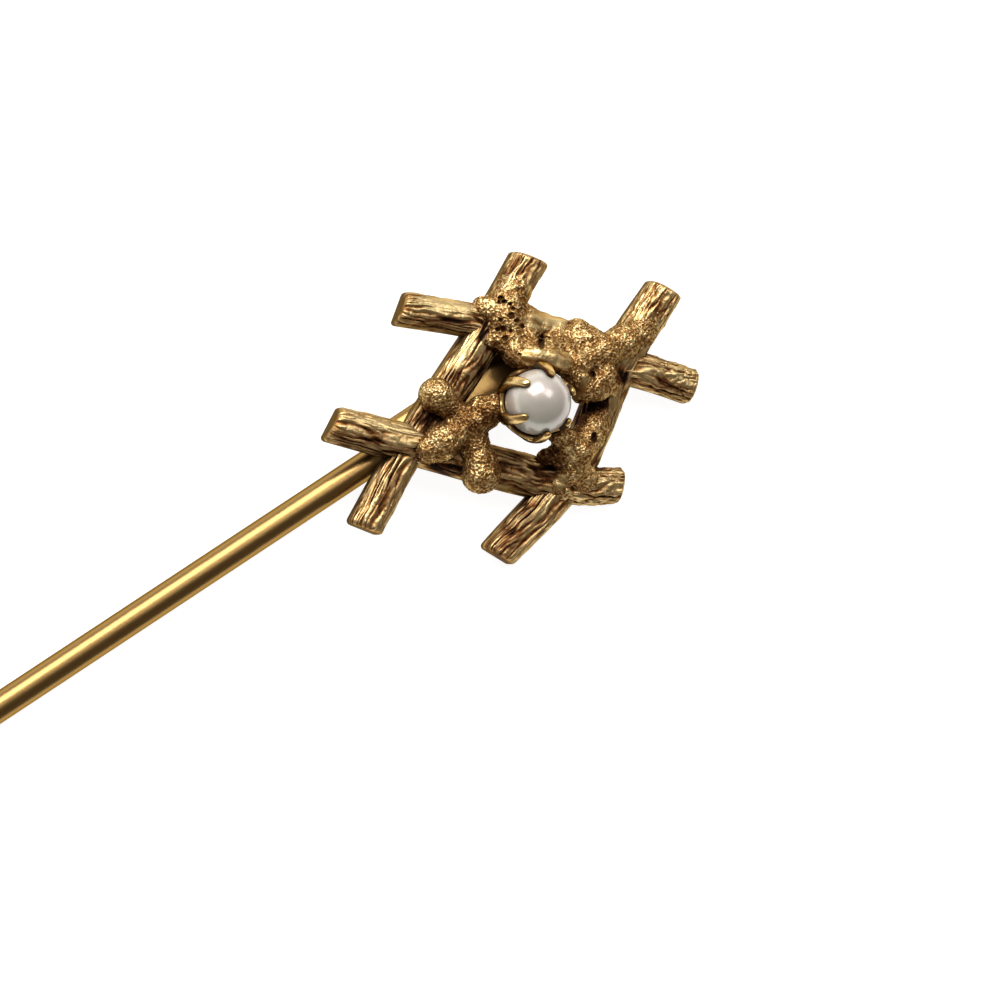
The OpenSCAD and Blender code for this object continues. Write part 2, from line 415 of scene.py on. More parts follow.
@dataclass(frozen=True)
class EndCap:
    """The cut end of a bar: a flat face with a rounded rim.

    Attributes:
        rim: Radius of the rim in millimetres.
        half_width: Half the bar's width, which turns the rim into a share of the section.
        face_rings: Number of rings on the flat face.
        rim_rings: Number of rings round the rim.
    """

    rim: float
    half_width: float
    face_rings: int = 7
    rim_rings: int = 5

    def rings(self) -> list[tuple[float, float]]:
        """The rings from the middle of the end face to the bar.

        Returns:
            Pairs of the distance from the end and the share of the full section.
        """
        flat = 1.0 - self.rim / self.half_width
        made = [(0.0, flat * step / self.face_rings) for step in range(self.face_rings)]
        for step in range(self.rim_rings + 1):
            angle = math.pi / 2 * step / self.rim_rings
            made.append((self.rim * (1 - math.cos(angle)), flat + (1 - flat) * math.sin(angle)))
        return made


@dataclass(frozen=True)
class Furrow:
    """One kind of line in the bark.

    Attributes:
        along: How often it changes along the twig, per millimetre.
        over: How often it changes over the twig, per millimetre.
        shift: Keeps it apart from the other kinds.
        steep: Steepness of its banks.
        power: Roundness of its banks, below 1 for a sharp groove.
    """

    along: float
    over: float
    shift: float = 0.0
    steep: float = 1.0
    power: float = 1.0

    def sway(self, along: float, over: float, seed: float) -> float:
        """A soft swell that runs from about -0.5 to 0.5."""
        return noise.noise(Vector((along * self.along, over * self.over, seed + self.shift)))

    def bank(self, along: float, over: float, seed: float) -> float:
        """A groove, 0 at its bottom and 1 past its banks."""
        return min(1.0, abs(self.sway(along, over, seed)) * self.steep) ** self.power


WANDER = Furrow(0.7, 0.9)
RIPPLE = Furrow(2.6, 2.1, 3.3)
RIDGES = Furrow(0.28, 2.7, 7.3, steep=6.5, power=0.75)
STRANDS = Furrow(0.60, 6.0, 19.1, steep=6.0, power=0.8)
CRACKS = Furrow(3.1, 2.6, 43.0, steep=9.0)
FIBRES = Furrow(2.0, 14.0, 31.7)


@dataclass(frozen=True)
class Twig:
    """A half-round twig with deep bark grooves along it, cut at its ends. Lengths are in millimetres.

    Attributes:
        name: The piece's name.
        rows: Its centre line, widths and crests.
        seed: Sets its own bark.
        length: Length that the rows' places are shares of.
        width: Width across the flat back.
        height: Height of the crest.
        groove: Depth of the bark.
        wander: How far the grooves wander.
        ripple: How far the grooves ripple.
        ridge_part: Part of the ridges in the bark's height.
        strand_part: Part of the strands in the bark's height.
        crack_part: Part of the cracks in the bark's height.
        fibre_part: Part of the fibres in the bark's height.
        even: Bark height that leaves the surface where it is.
        rubbed: Bark height of a rubbed place.
        rubbing: How far rubbing flattens the bark.
        edge: Share of the section over which the bark fades towards the back.
        edge_relief: Relief at the edge.
        plain_relief: Relief of the back.
        end_relief: Mean relief of the cut ends.
        end_change: Change of relief over the cut ends.
        end_from: Share of the full section at which the bark begins on a cut end.
        end_grain: How often a cut end's relief changes, per millimetre.
        end_power: How late a cut end's relief turns to the bark's.
        core: Height of the section's core, as a share of the height.
        side_power: Steepness of the sides.
        crest_power: Flatness of the crest.
        rim: Radius of the rounded rims of the ends.
        step: Length of a ring.
        front_steps: Steps round the front.
        back_steps: Steps across the back.
        grain: Share of hand-worked grain.
        look: Share of the length that is looked ahead and back for the centre line's direction.
        measures: Number of straight bits by which the centre line is measured.
    """

    name: str
    rows: tuple[Row, ...]
    seed: float
    length: float = 12.5
    width: float = 1.36
    height: float = 0.92
    groove: float = 0.13
    wander: float = 0.14
    ripple: float = 0.03
    ridge_part: float = 0.42
    strand_part: float = 0.34
    crack_part: float = 0.10
    fibre_part: float = 0.36
    even: float = 0.62
    rubbed: float = 0.8
    rubbing: float = 0.7
    edge: float = 0.09
    edge_relief: float = 0.6
    plain_relief: float = 0.75
    end_relief: float = 0.55
    end_change: float = 0.3
    end_from: float = 0.4
    end_grain: float = 4.0
    end_power: float = 6.0
    core: float = 0.4
    side_power: float = 0.75
    crest_power: float = 0.7
    rim: float = 0.2
    step: float = 0.04
    front_steps: int = 88
    back_steps: int = 16
    grain: float = 0.15
    look: float = 0.01
    measures: int = 60

    def row_at(self, share: float) -> Row:
        """The blended row at a share of the table's length.

        Args:
            share: From 0 at the first row to 1 at the last.

        Returns:
            The row.
        """
        last = len(self.rows) - 1
        k = min(max(int(share * last), 0), last - 1)
        here, after = self.rows[k], self.rows[k + 1]
        before = self.rows[k - 1] if k > 0 else here.beyond(after)
        later = self.rows[k + 2] if k + 2 <= last else after.beyond(here)
        return here.blended(before, after, later, share * last - k)

    def centre(self, share: float) -> Vector:
        """The centre line's place at a share of its length."""
        row = self.row_at(share)
        return Vector((row.x, row.y, 0.0)) * self.length

    def across(self, share: float) -> Vector:
        """The direction across the section, square to the centre line but for the row's own turn.

        Args:
            share: Share of the centre line's length.

        Returns:
            A unit vector in the plane of the backs.
        """
        ahead = self.centre(min(share + self.look, 1.0)) - self.centre(max(share - self.look, 0.0))
        turn = math.radians(self.row_at(share).turn - 90)
        return Matrix.Rotation(turn, 3, "Z") @ ahead.normalized()

    def bark(self, along: float, over: float) -> float:
        """Height of the bark, with sharp grooves between round ridges.

        Args:
            along: Distance along the twig in millimetres.
            over: Distance over the twig's section in millimetres.

        Returns:
            A share from 0 in a groove to 1 on a ridge.
        """
        over += self.wander * WANDER.sway(along, over, self.seed)
        over += self.ripple * RIPPLE.sway(along, over, self.seed)
        height = self.ridge_part * RIDGES.bank(along, over, self.seed)
        height += self.strand_part * STRANDS.bank(along, over, self.seed)
        height += self.crack_part * CRACKS.bank(along, over, self.seed)
        height += self.fibre_part * FIBRES.sway(along, over, self.seed)
        return min(max(height, 0.0), 1.0)

    def section(self, row: Row, step: int) -> tuple[float, float, float]:
        """A point of the section, from one back corner over the crest and back under.

        Args:
            row: The blended row.
            step: The step round the section.

        Returns:
            Distance across, height, and share of the way over the front (or -1 on the back).
        """
        half, crest = self.width * row.width / 2, self.height * row.crest
        if step <= self.front_steps:
            share = step / self.front_steps
            angle = math.pi * share
            side = math.copysign(abs(math.cos(angle)) ** self.side_power, math.cos(angle))
            return half * side, crest * max(math.sin(angle), 0.0) ** self.crest_power, share
        share = (step - self.front_steps) / self.back_steps
        return lerp(-half, half, share), 0.0, -1.0

    def build(self) -> bmesh.types.BMesh:
        """The twig's mesh.

        Returns:
            A closed mesh with real bark grooves.
        """
        span = self.span()
        cap = EndCap(self.rim, self.width / 2).rings()
        body = round((span - 2 * self.rim) / self.step)
        rings = list(cap)
        rings += [(lerp(self.rim, span - self.rim, k / body), 1.0) for k in range(1, body)]
        rings += [(span - place, size) for place, size in reversed(cap)]
        cache: dict[int, tuple[Row, Vector, Vector]] = {}

        def spot(ring: int, step: int) -> Spot:
            """Gives one vertex.

            Args:
                ring: Number of the ring.
                step: Number of the step round it.

            Returns:
                Its place, relief and share of hand-worked grain.
            """
            along, size = rings[ring]
            if ring not in cache:
                share = along / span
                cache[ring] = self.row_at(share), self.centre(share), self.across(share)
            row, centre, across = cache[ring]
            out, up, over = self.section(row, step)
            core = self.core * self.height
            relief = self.plain_relief
            swell = 1.0
            if over >= 0:
                arc = over * (self.width + self.height)
                edge = smooth_step(0.0, self.edge, min(over, 1 - over))
                seen = VIEW.seen_at(centre + across * out + Vector((0, 0, up)))
                # Bright patches, which paint highlights, also flatten the bark here as rubbing does
                lit_and_worn = sum(max(light_and_wear.at(*seen), 0.0) for light_and_wear in PAINTED_LIGHT_AND_WEAR)
                bark = lerp(self.bark(along, arc), self.rubbed, self.rubbing * min(lit_and_worn, 1.0))
                relief = lerp(self.edge_relief, bark, edge)
                reach = math.hypot(out, up - core)
                begun = smooth_step(self.end_from, 1.0, size)
                swell = 1.0 + self.groove * edge * (bark - self.even) / reach * begun
            out, up = out * swell, core + (up - core) * swell
            out, up = out * size, core + (up - core) * size
            if size < 1.0:
                cut = noise.noise(Vector((out * self.end_grain, up * self.end_grain, self.seed)))
                relief = lerp(self.end_relief + self.end_change * cut, relief, size**self.end_power)
            return centre + across * out + Vector((0, 0, up)), relief, self.grain

        return BENCH.grid(len(rings), self.front_steps + self.back_steps, spot)

    def span(self) -> float:
        """Measures the centre line.

        Returns:
            Its length in millimetres.
        """
        spots = [self.centre(k / self.measures) for k in range(self.measures + 1)]
        return sum((b - a).length for a, b in zip(spots, spots[1:]))


TWIGS = (
    Twig(
        "twig_upper",
        (
            Row(-0.400, 0.278, 1.02, 1.00, -13),
            Row(-0.133, 0.237, 0.98, 0.94),
            Row(0.133, 0.160, 1.06, 0.96),
            Row(0.432, 0.086, 1.02, 1.00),
            Row(0.578, 0.042, 1.02, 1.00),
        ),
        seed=3.1,
    ),
    Twig(
        "twig_lower",
        (
            Row(-0.623, -0.074, 1.08, 1.04, -15),
            Row(-0.332, -0.145, 1.12, 1.10),
            Row(0.0, -0.226, 1.20, 1.02),
            Row(0.183, -0.262, 1.10, 1.04),
            Row(0.335, -0.264, 1.04, 0.96, -10),
        ),
        seed=11.7,
    ),
    Twig(
        "twig_left",
        (
            Row(0.037, 0.438, 1.12, 1.02, 12),
            Row(-0.066, 0.277, 1.02, 1.10),
            Row(-0.208, 0.062, 1.16, 1.02),
            Row(-0.368, -0.154, 1.00, 0.94),
            Row(-0.513, -0.399, 1.04, 1.00, 10),
        ),
        seed=23.9,
    ),
    Twig(
        "twig_right",
        (
            Row(0.488, 0.347, 1.08, 1.00, 6),
            Row(0.340, 0.130, 1.14, 1.04),
            Row(0.178, -0.215, 1.14, 0.92),
            Row(-0.076, -0.482, 1.06, 1.00, 14),
        ),
        seed=37.3,
    ),
)


@dataclass(frozen=True)
class Ball:
    """One ball of a knot's branch, placed as the viewer sees it, in millimetres.

    Attributes:
        right: Distance to the right of the middle of the head.
        up: Distance up from the middle of the head.
        z: Height of its centre over the backs of the twigs.
        radius: Its radius.
    """

    right: float
    up: float
    z: float
    radius: float


@dataclass(frozen=True)
class Mark:
    """A pit or a smooth place of a knot, placed as the viewer sees it.

    Attributes:
        right: Distance to the right of the middle of the head, in millimetres.
        up: Distance up from the middle of the head, in millimetres.
        wide: Half its width.
        high: Half its height.
        depth: Depth of a pit, or 0 for a smooth place.
        turn: Direction of the fine lines on a smooth place, in degrees.
        line_along: How often a line changes along it, per millimetre.
        line_over: How often the lines change across them, per millimetre.
        line_deep: How often the lines change with the height, per millimetre.
        pit_floor: Share of a pit's reach that has its full depth.
        pit_rim: Share of its reach at which a pit ends.
        smooth_to: Share of a smooth place's reach that is fully smooth.
        stipple_from: Share of its reach past which the stipple is full.
    """

    right: float
    up: float
    wide: float
    high: float
    depth: float = 0.0
    turn: float = -14.0
    line_along: float = 0.9
    line_over: float = 5.5
    line_deep: float = 3.0
    pit_floor: float = 0.35
    pit_rim: float = 1.15
    smooth_to: float = 0.6
    stipple_from: float = 1.2

    def far(self, right: float, up: float) -> float:
        """Distance of a seen place from the mark's middle, as a share of the mark's reach."""
        return math.hypot((right - self.right) / self.wide, (up - self.up) / self.high)

    def pit(self, far: float) -> float:
        """Depth of the pit at a share of its reach."""
        return self.depth * (1 - smooth_step(self.pit_floor, self.pit_rim, far))

    def worked(self, far: float) -> float:
        """Share of the stipple at a share of a smooth place's reach."""
        return smooth_step(self.smooth_to, self.stipple_from, far)

    def lines(self, place: Vector) -> float:
        """Height of the fine lines on a smooth place.

        Args:
            place: A place on the skin.

        Returns:
            From about -0.5 to 0.5.
        """
        cos, sin = math.cos(math.radians(self.turn)), math.sin(math.radians(self.turn))
        along, over = place.x * cos + place.y * sin, place.y * cos - place.x * sin
        spot = Vector((along * self.line_along, over * self.line_over, place.z * self.line_deep))
        return noise.noise(spot)


@dataclass(frozen=True)
class Pearl:
    """The round pearl.

    Attributes:
        diameter: Its diameter.
        unevenness: How far its skin swells and sinks.
        swells: How often its skin swells, per millimetre.
        drawn_from: Where in the noise its swells are drawn from.
        detail: Times that the ball's triangles are split.
    """

    diameter: float = 2.54
    unevenness: float = 0.006
    swells: float = 1.1
    drawn_from: tuple[float, float, float] = (4.0, 1.0, 7.0)
    detail: int = 6

    def centre(self) -> Vector:
        """The pearl's centre in the head's frame."""
        return Vector(PLACE.pearl_spot)

    def build(self) -> bmesh.types.BMesh:
        """The pearl's mesh.

        Returns:
            A fine ball, a little uneven.
        """
        bm = bmesh.new()
        bmesh.ops.create_icosphere(bm, subdivisions=self.detail, radius=self.diameter / 2)
        patina_and_painted_light = bm.verts.layers.float_color.new(PATINA_AND_PAINTED_LIGHT)
        for vert in bm.verts:
            swell = noise.noise(vert.co * self.swells + Vector(self.drawn_from))
            vert.co *= 1.0 + self.unevenness * (swell - 0.5)
            vert.co += self.centre()
            vert[patina_and_painted_light] = (1.0, 1.0, 0.0, 1.0)
        return bm


@dataclass(frozen=True)
class ClawCup:
    """The scalloped cup round the pearl's lower half, with six bent claws.

    Attributes:
        pearl: The pearl that it holds.
        gap: Room between the pearl and the cup.
        wall: Thickness of the cup's wall.
        claw_width: Width of a claw at its root.
        claw_tip: Width of a claw at its tip.
        claw_uneven: How much wider a tip may be.
        drawn_from: Where in the noise the claws' unevenness is drawn from, claw by claw.
        claw_taper: How fast a claw narrows, below 1 for fast at first.
        claw_thickness: Thickness of a claw at its tip.
        root_bulge: How much thicker than the wall a claw is at its root.
        claw_square: Roundness of a claw's section, below 1 for a flatter bar.
        claw_rings: Rings along a claw.
        claw_steps: Steps round a claw.
        claw_relief: Mean relief of a claw.
        claw_change: How much higher its back's relief is, and its inner side's lower.
        grip: How far outside the cup's inner face a claw's root is.
        press: How far inside the cup's inner face a claw's tip is.
        rounds_over: Share of a claw's length over which its tip rounds off.
        opens_over: Share of a claw's length over which its root rounds off.
        start: Azimuth of the first claw in degrees.
        roots: How far each root sits from even spacing, in degrees.
        leans: How far each tip leans round the pearl, in degrees.
        reaches: Elevation of each tip, in degrees.
        pole: Elevation of the small round hole under the pearl, in degrees.
        rim: Elevation of the rim between the claws.
        rise: How far the rim rises at a claw, in degrees.
        scallop: Sharpness of the rim's rise.
        root_drop: How far below the rim a claw begins, in degrees.
        around: Steps round the bowl.
        wall_steps: Steps up each side of the wall.
        lip_steps: Steps over the lip.
        relief: Relief of the bowl.
    """

    pearl: Pearl
    gap: float = 0.03
    wall: float = 0.23
    claw_width: float = 0.8
    claw_tip: float = 0.27
    claw_uneven: float = 0.05
    drawn_from: tuple[float, float, float] = (1.7, 0.3, 2.1)
    claw_taper: float = 0.7
    claw_thickness: float = 0.22
    root_bulge: float = 0.13
    claw_square: float = 0.65
    claw_rings: int = 40
    claw_steps: int = 24
    claw_relief: float = 0.6
    claw_change: float = 0.4
    grip: float = 0.02
    press: float = 0.045
    rounds_over: float = 0.1
    opens_over: float = 0.03
    start: float = 24.0
    roots: tuple[float, ...] = (0, 4, 12, -2, 0, 0)
    leans: tuple[float, ...] = (-7, -9, -18, 12, 13, 0)
    reaches: tuple[float, ...] = (24, 44, 44, 45, 32, 26)
    pole: float = -89.0
    rim: float = -26.0
    rise: float = 20.0
    scallop: float = 1.6
    root_drop: float = 12.0
    around: int = 144
    wall_steps: int = 26
    lip_steps: int = 6
    relief: float = 0.8

    def inner(self) -> float:
        """Inner radius of the cup."""
        return self.pearl.diameter / 2 + self.gap

    def outer(self) -> float:
        """Outer radius of the cup."""
        return self.inner() + self.wall

    def azimuth(self, claw: int) -> float:
        """Azimuth of a claw's root, in degrees."""
        return self.start + 360 / len(self.leans) * claw + self.roots[claw]

    def rim_at(self, azimuth: float) -> float:
        """Elevation of the scalloped rim.

        Args:
            azimuth: Direction in radians.

        Returns:
            Elevation in radians.
        """
        phase = math.cos(len(self.leans) * (azimuth - math.radians(self.start)))
        return math.radians(self.rim + self.rise * ((1 + phase) / 2) ** self.scallop)

    def bowl(self) -> bmesh.types.BMesh:
        """The bowl, spun from its wall's section, with a scalloped rim.

        Returns:
            A closed mesh.
        """
        bm = bmesh.new()
        low, high = math.radians(self.pole), math.radians(self.rim)
        steps, lip = self.wall_steps, self.lip_steps
        middle = (self.inner() + self.outer()) / 2
        path = [(lerp(low, high, k / steps), self.outer()) for k in range(steps + 1)]
        for k in range(1, lip):
            angle = math.pi * k / lip
            radius = middle + self.wall / 2 * math.cos(angle)
            path.append((high + self.wall / 2 / middle * math.sin(angle), radius))
        path += [(lerp(high, low, k / steps), self.inner()) for k in range(steps + 1)]
        verts = [bm.verts.new((r * math.cos(e), 0.0, r * math.sin(e))) for e, r in path]
        edges = [bm.edges.new(pair) for pair in zip(verts, verts[1:])]
        bmesh.ops.spin(
            bm,
            geom=verts + edges,
            cent=(0, 0, 0),
            axis=(0, 0, 1),
            angle=2 * math.pi,
            steps=self.around,
            use_merge=True,
        )
        patina_and_painted_light = bm.verts.layers.float_color.new(PATINA_AND_PAINTED_LIGHT)
        rings = [edge for edge in bm.edges if edge.is_boundary]
        bmesh.ops.holes_fill(bm, edges=rings, sides=0)
        for vert in bm.verts:
            radius = vert.co.length
            azimuth = math.atan2(vert.co.y, vert.co.x)
            level = math.asin(max(-1.0, min(1.0, vert.co.z / radius)))
            share = (level - low) / (high - low)
            level = lerp(low, self.rim_at(azimuth), share)
            flat = radius * math.cos(level)
            vert.co = (flat * math.cos(azimuth), flat * math.sin(azimuth), radius * math.sin(level))
            vert[patina_and_painted_light] = (self.relief, 1.0, 0.0, 1.0)
        bmesh.ops.recalc_face_normals(bm, faces=bm.faces)
        return bm

    def claw(self, number: int) -> bmesh.types.BMesh:
        """One claw, a flattened bar that tapers and bends over the pearl.

        Args:
            number: Which claw.

        Returns:
            A closed mesh.
        """
        rings, around = self.claw_rings, self.claw_steps
        root, reach = self.rim - self.root_drop, self.reaches[number]
        rounds_from = 1 - self.rounds_over
        uneven = 0.5 + 0.5 * noise.noise(Vector((number * self.drawn_from[0], *self.drawn_from[1:])))

        def spot(ring: int, step: int) -> Spot:
            """Gives one vertex.

            Args:
                ring: Number of the ring.
                step: Number of the step round it.

            Returns:
                Its place, relief and share of hand-worked grain.
            """
            share = ring / (rings - 1)
            level = math.radians(lerp(root, reach, share))
            azimuth = math.radians(self.azimuth(number) + self.leans[number] * share)
            width = lerp(self.claw_width, self.claw_tip + self.claw_uneven * uneven, share**self.claw_taper)
            round_off = math.sqrt(max(0.0, 1 - max(0.0, (share - rounds_from) / self.rounds_over) ** 2))
            opening = math.sqrt(max(0.0, 1 - max(0.0, (self.opens_over - share) / self.opens_over) ** 2))
            size = round_off * opening
            inside = lerp(self.inner() + self.grip, self.inner() - self.press, share)
            thick = lerp(self.wall + self.root_bulge, self.claw_thickness, share)
            angle = 2 * math.pi * step / around
            side = math.copysign(abs(math.cos(angle)) ** self.claw_square, math.cos(angle))
            rise = math.copysign(abs(math.sin(angle)) ** self.claw_square, math.sin(angle))
            radius = inside + thick / 2 + thick / 2 * size * rise
            azimuth += width / 2 * size * side / (radius * math.cos(level))
            flat = radius * math.cos(level)
            place = Vector((flat * math.cos(azimuth), flat * math.sin(azimuth), radius * math.sin(level)))
            return place, self.claw_relief + self.claw_change * rise, 0.0

        return BENCH.grid(rings, around, spot)

    def build(self) -> bmesh.types.BMesh:
        """The cup with its claws, as one mesh.

        Returns:
            The cup and claws in the head's frame.
        """
        whole = self.bowl()
        for number in range(len(self.leans)):
            part = self.claw(number)
            mesh = bpy.data.meshes.new("claw")
            part.to_mesh(mesh)
            part.free()
            whole.from_mesh(mesh)
            bpy.data.meshes.remove(mesh)
        bmesh.ops.translate(whole, verts=whole.verts, vec=self.pearl.centre())
        return whole


@dataclass(frozen=True)
class Stipple:
    """The rounded grains and short ridges that cover a knot.

    Attributes:
        grain: Size of a grain in millimetres.
        warps: How often the grains are pushed aside, per millimetre.
        warp: How far they are pushed aside.
        grain_edge: Steepness of a grain's edge.
        ridges: How often the ridges change, per grain.
        ridge_edge: Steepness of a ridge's edge.
        swells: How often the stipple swells, per millimetre.
        grain_part: Part of the grains in the height.
        ridge_part: Part of the ridges in the height.
        swell_part: Part of the swells in the height.
        sink: Taken off the height.
    """

    grain: float = 0.13
    warps: float = 5.0
    warp: float = 0.05
    grain_edge: float = 1.8
    ridges: float = 0.9
    ridge_edge: float = 3.2
    swells: float = 3.3
    grain_part: float = 0.45
    ridge_part: float = 0.5
    swell_part: float = 0.3
    sink: float = 0.05

    def height(self, place: Vector) -> float:
        """Height of the stipple.

        Args:
            place: A place on the skin.

        Returns:
            A share from 0 between grains to 1 on a grain.
        """
        warp = noise.noise_vector(place * self.warps) * self.warp
        near = noise.voronoi((place + warp) / self.grain)[0]
        grain = min(1.0, (near[1] - near[0]) * self.grain_edge)
        ridge = 1.0 - min(1.0, abs(noise.noise(place / self.grain * self.ridges)) * self.ridge_edge)
        swell = 0.5 + noise.noise(place * self.swells)
        height = self.grain_part * grain + self.ridge_part * ridge + self.swell_part * swell - self.sink
        return min(1.0, max(0.0, height))


@dataclass(frozen=True)
class Knot:
    """A knot of fused lobes, stippled all over with rounded grains. Lengths are in millimetres.

    Attributes:
        crossing: Which crossing it covers.
        arms: Chains of balls.
        marks: Pits and smooth places.
        cup: The cup that it reaches and stays out of.
        covers: Share of the cup's wall that stays free of the knot.
        neck: Width of the bars between the balls, as a share of the balls.
        neck_sides: Sides of those bars.
        ball_detail: Times that a ball's triangles are split.
        swell: How much larger than stated the balls are before their webs are softened.
        back: Least height over the backs of the twigs.
        voxel: Coarseness of the fused skin.
        webbing: Times that the webs between the lobes are softened.
        softening: How far each of those times softens them.
        stipple: The grains.
        relief: Height of the grains.
        even: Height of the stipple that leaves the skin where it is.
        least_stipple: Share of the stipple that stays on smooth places and at the back.
        back_from: Height over the backs up to which the stipple is least.
        back_to: Height over the backs from which the stipple is full.
        pit_facing: How far a place has to face the viewer to be pitted.
        pit_dark: How fast a pit darkens with its depth, per millimetre.
        line_relief: Height of the fine lines on smooth places.
        smooth_relief: Mean relief of smooth places in the patina.
        line_change: How far the fine lines change it.
    """

    crossing: Crossing
    arms: tuple[tuple[Ball, ...], ...]
    marks: tuple[Mark, ...]
    cup: ClawCup
    covers: float = 0.1
    neck: float = 0.97
    neck_sides: int = 24
    ball_detail: int = 3
    swell: float = 1.05
    back: float = 0.04
    voxel: float = 0.05
    webbing: int = 16
    softening: float = 0.5
    stipple: Stipple = Stipple()
    relief: float = 0.068
    even: float = 0.6
    least_stipple: float = 0.15
    back_from: float = 0.15
    back_to: float = 0.45
    pit_facing: float = 0.2
    pit_dark: float = 8.0
    line_relief: float = 0.022
    smooth_relief: float = 0.72
    line_change: float = 0.5

    def place(self, ball: Ball) -> Vector:
        """A ball's centre in the head's frame."""
        return VIEW.place(ball.right, ball.up, ball.z)

    def lobes(self) -> bmesh.types.BMesh:
        """The loose balls and necks, before they are fused.

        Returns:
            Overlapping closed shells.
        """
        bm = bmesh.new()
        for arm in self.arms:
            for ball in arm:
                bmesh.ops.create_icosphere(
                    bm,
                    subdivisions=self.ball_detail,
                    radius=ball.radius * self.swell,
                    matrix=Matrix.Translation(self.place(ball)),
                )
            for first, second in zip(arm, arm[1:]):
                start, end = self.place(first), self.place(second)
                turn = (end - start).to_track_quat("Z", "Y").to_matrix().to_4x4()
                bmesh.ops.create_cone(
                    bm,
                    cap_ends=True,
                    segments=self.neck_sides,
                    radius1=first.radius * self.neck,
                    radius2=second.radius * self.neck,
                    depth=(end - start).length,
                    matrix=Matrix.Translation((start + end) / 2) @ turn,
                )
        return bm

    def fused(self) -> bpy.types.Mesh:
        """The lobes fused into one skin with soft webs between them.

        Returns:
            A closed mesh in millimetres.
        """
        bm = self.lobes()
        rough = bpy.data.meshes.new("lobes")
        bm.to_mesh(rough)
        bm.free()
        maker = bpy.data.objects.new("lobes", rough)
        bpy.context.scene.collection.objects.link(maker)
        fuse = maker.modifiers.new("fuse", "REMESH")
        fuse.mode = "VOXEL"
        fuse.voxel_size = self.voxel
        soften = maker.modifiers.new("soften", "SMOOTH")
        soften.factor = self.softening
        soften.iterations = self.webbing
        finer = maker.modifiers.new("finer", "SUBSURF")
        finer.levels = finer.render_levels = 1
        graph = bpy.context.evaluated_depsgraph_get()
        skin = bpy.data.meshes.new_from_object(maker.evaluated_get(graph))
        bpy.data.objects.remove(maker)
        bpy.data.meshes.remove(rough)
        return skin

    def build(self) -> bmesh.types.BMesh:
        """The knot's mesh.

        Returns:
            A closed stippled skin, pushed out of the cup.
        """
        skin = self.fused()
        bm = bmesh.new()
        bm.from_mesh(skin)
        bpy.data.meshes.remove(skin)
        patina_and_painted_light = bm.verts.layers.float_color.new(PATINA_AND_PAINTED_LIGHT)
        bm.normal_update()
        toward = VIEW.toward()
        moved: list[tuple[bmesh.types.BMVert, Vector, float, float]] = []
        for vert in bm.verts:
            height, worked = self.stipple.height(vert.co), 1.0
            seen = VIEW.seen_at(vert.co)
            depth = lines = 0.0
            for mark in self.marks:
                far = mark.far(*seen)
                if mark.depth > 0 and vert.normal.dot(toward) > self.pit_facing:
                    depth = max(depth, mark.pit(far))
                elif mark.depth == 0 and far < mark.stipple_from:
                    worked = min(worked, mark.worked(far))
                    lines = mark.lines(vert.co) * (1 - worked)
            back = smooth_step(self.back_from, self.back_to, vert.co.z)
            full = lerp(self.least_stipple, 1.0, worked * back)
            lift = self.relief * (height - self.even) * full + self.line_relief * lines
            place = vert.co + vert.normal * lift - toward * depth
            relief = lerp(self.smooth_relief + self.line_change * lines, height, worked)
            relief *= 1 - min(1.0, depth * self.pit_dark)
            moved.append((vert, place, relief, worked))
        centre, hold = self.cup.pearl.centre(), self.cup.inner() + self.cup.wall * self.covers
        for vert, place, relief, worked in moved:
            away = place - centre
            if away.length < hold:
                place = centre + away.normalized() * hold
            place.z = max(place.z, self.back)
            vert.co = place
            vert[patina_and_painted_light] = (relief, 1.0, worked, 1.0)
        return bm


ELLIPSE = 2.0


@dataclass(frozen=True)
class Section:
    """One section of the stem, with its place along the stem's line.

    Attributes:
        x: Distance from the middle of the head, along the stem's line.
        half_width: Half its width.
        half_height: Half its height.
        z: Height of its centre over the backs of the twigs.
        square: ELLIPSE, or more for a flattened bar.
    """

    x: float
    half_width: float
    half_height: float
    z: float
    square: float = ELLIPSE


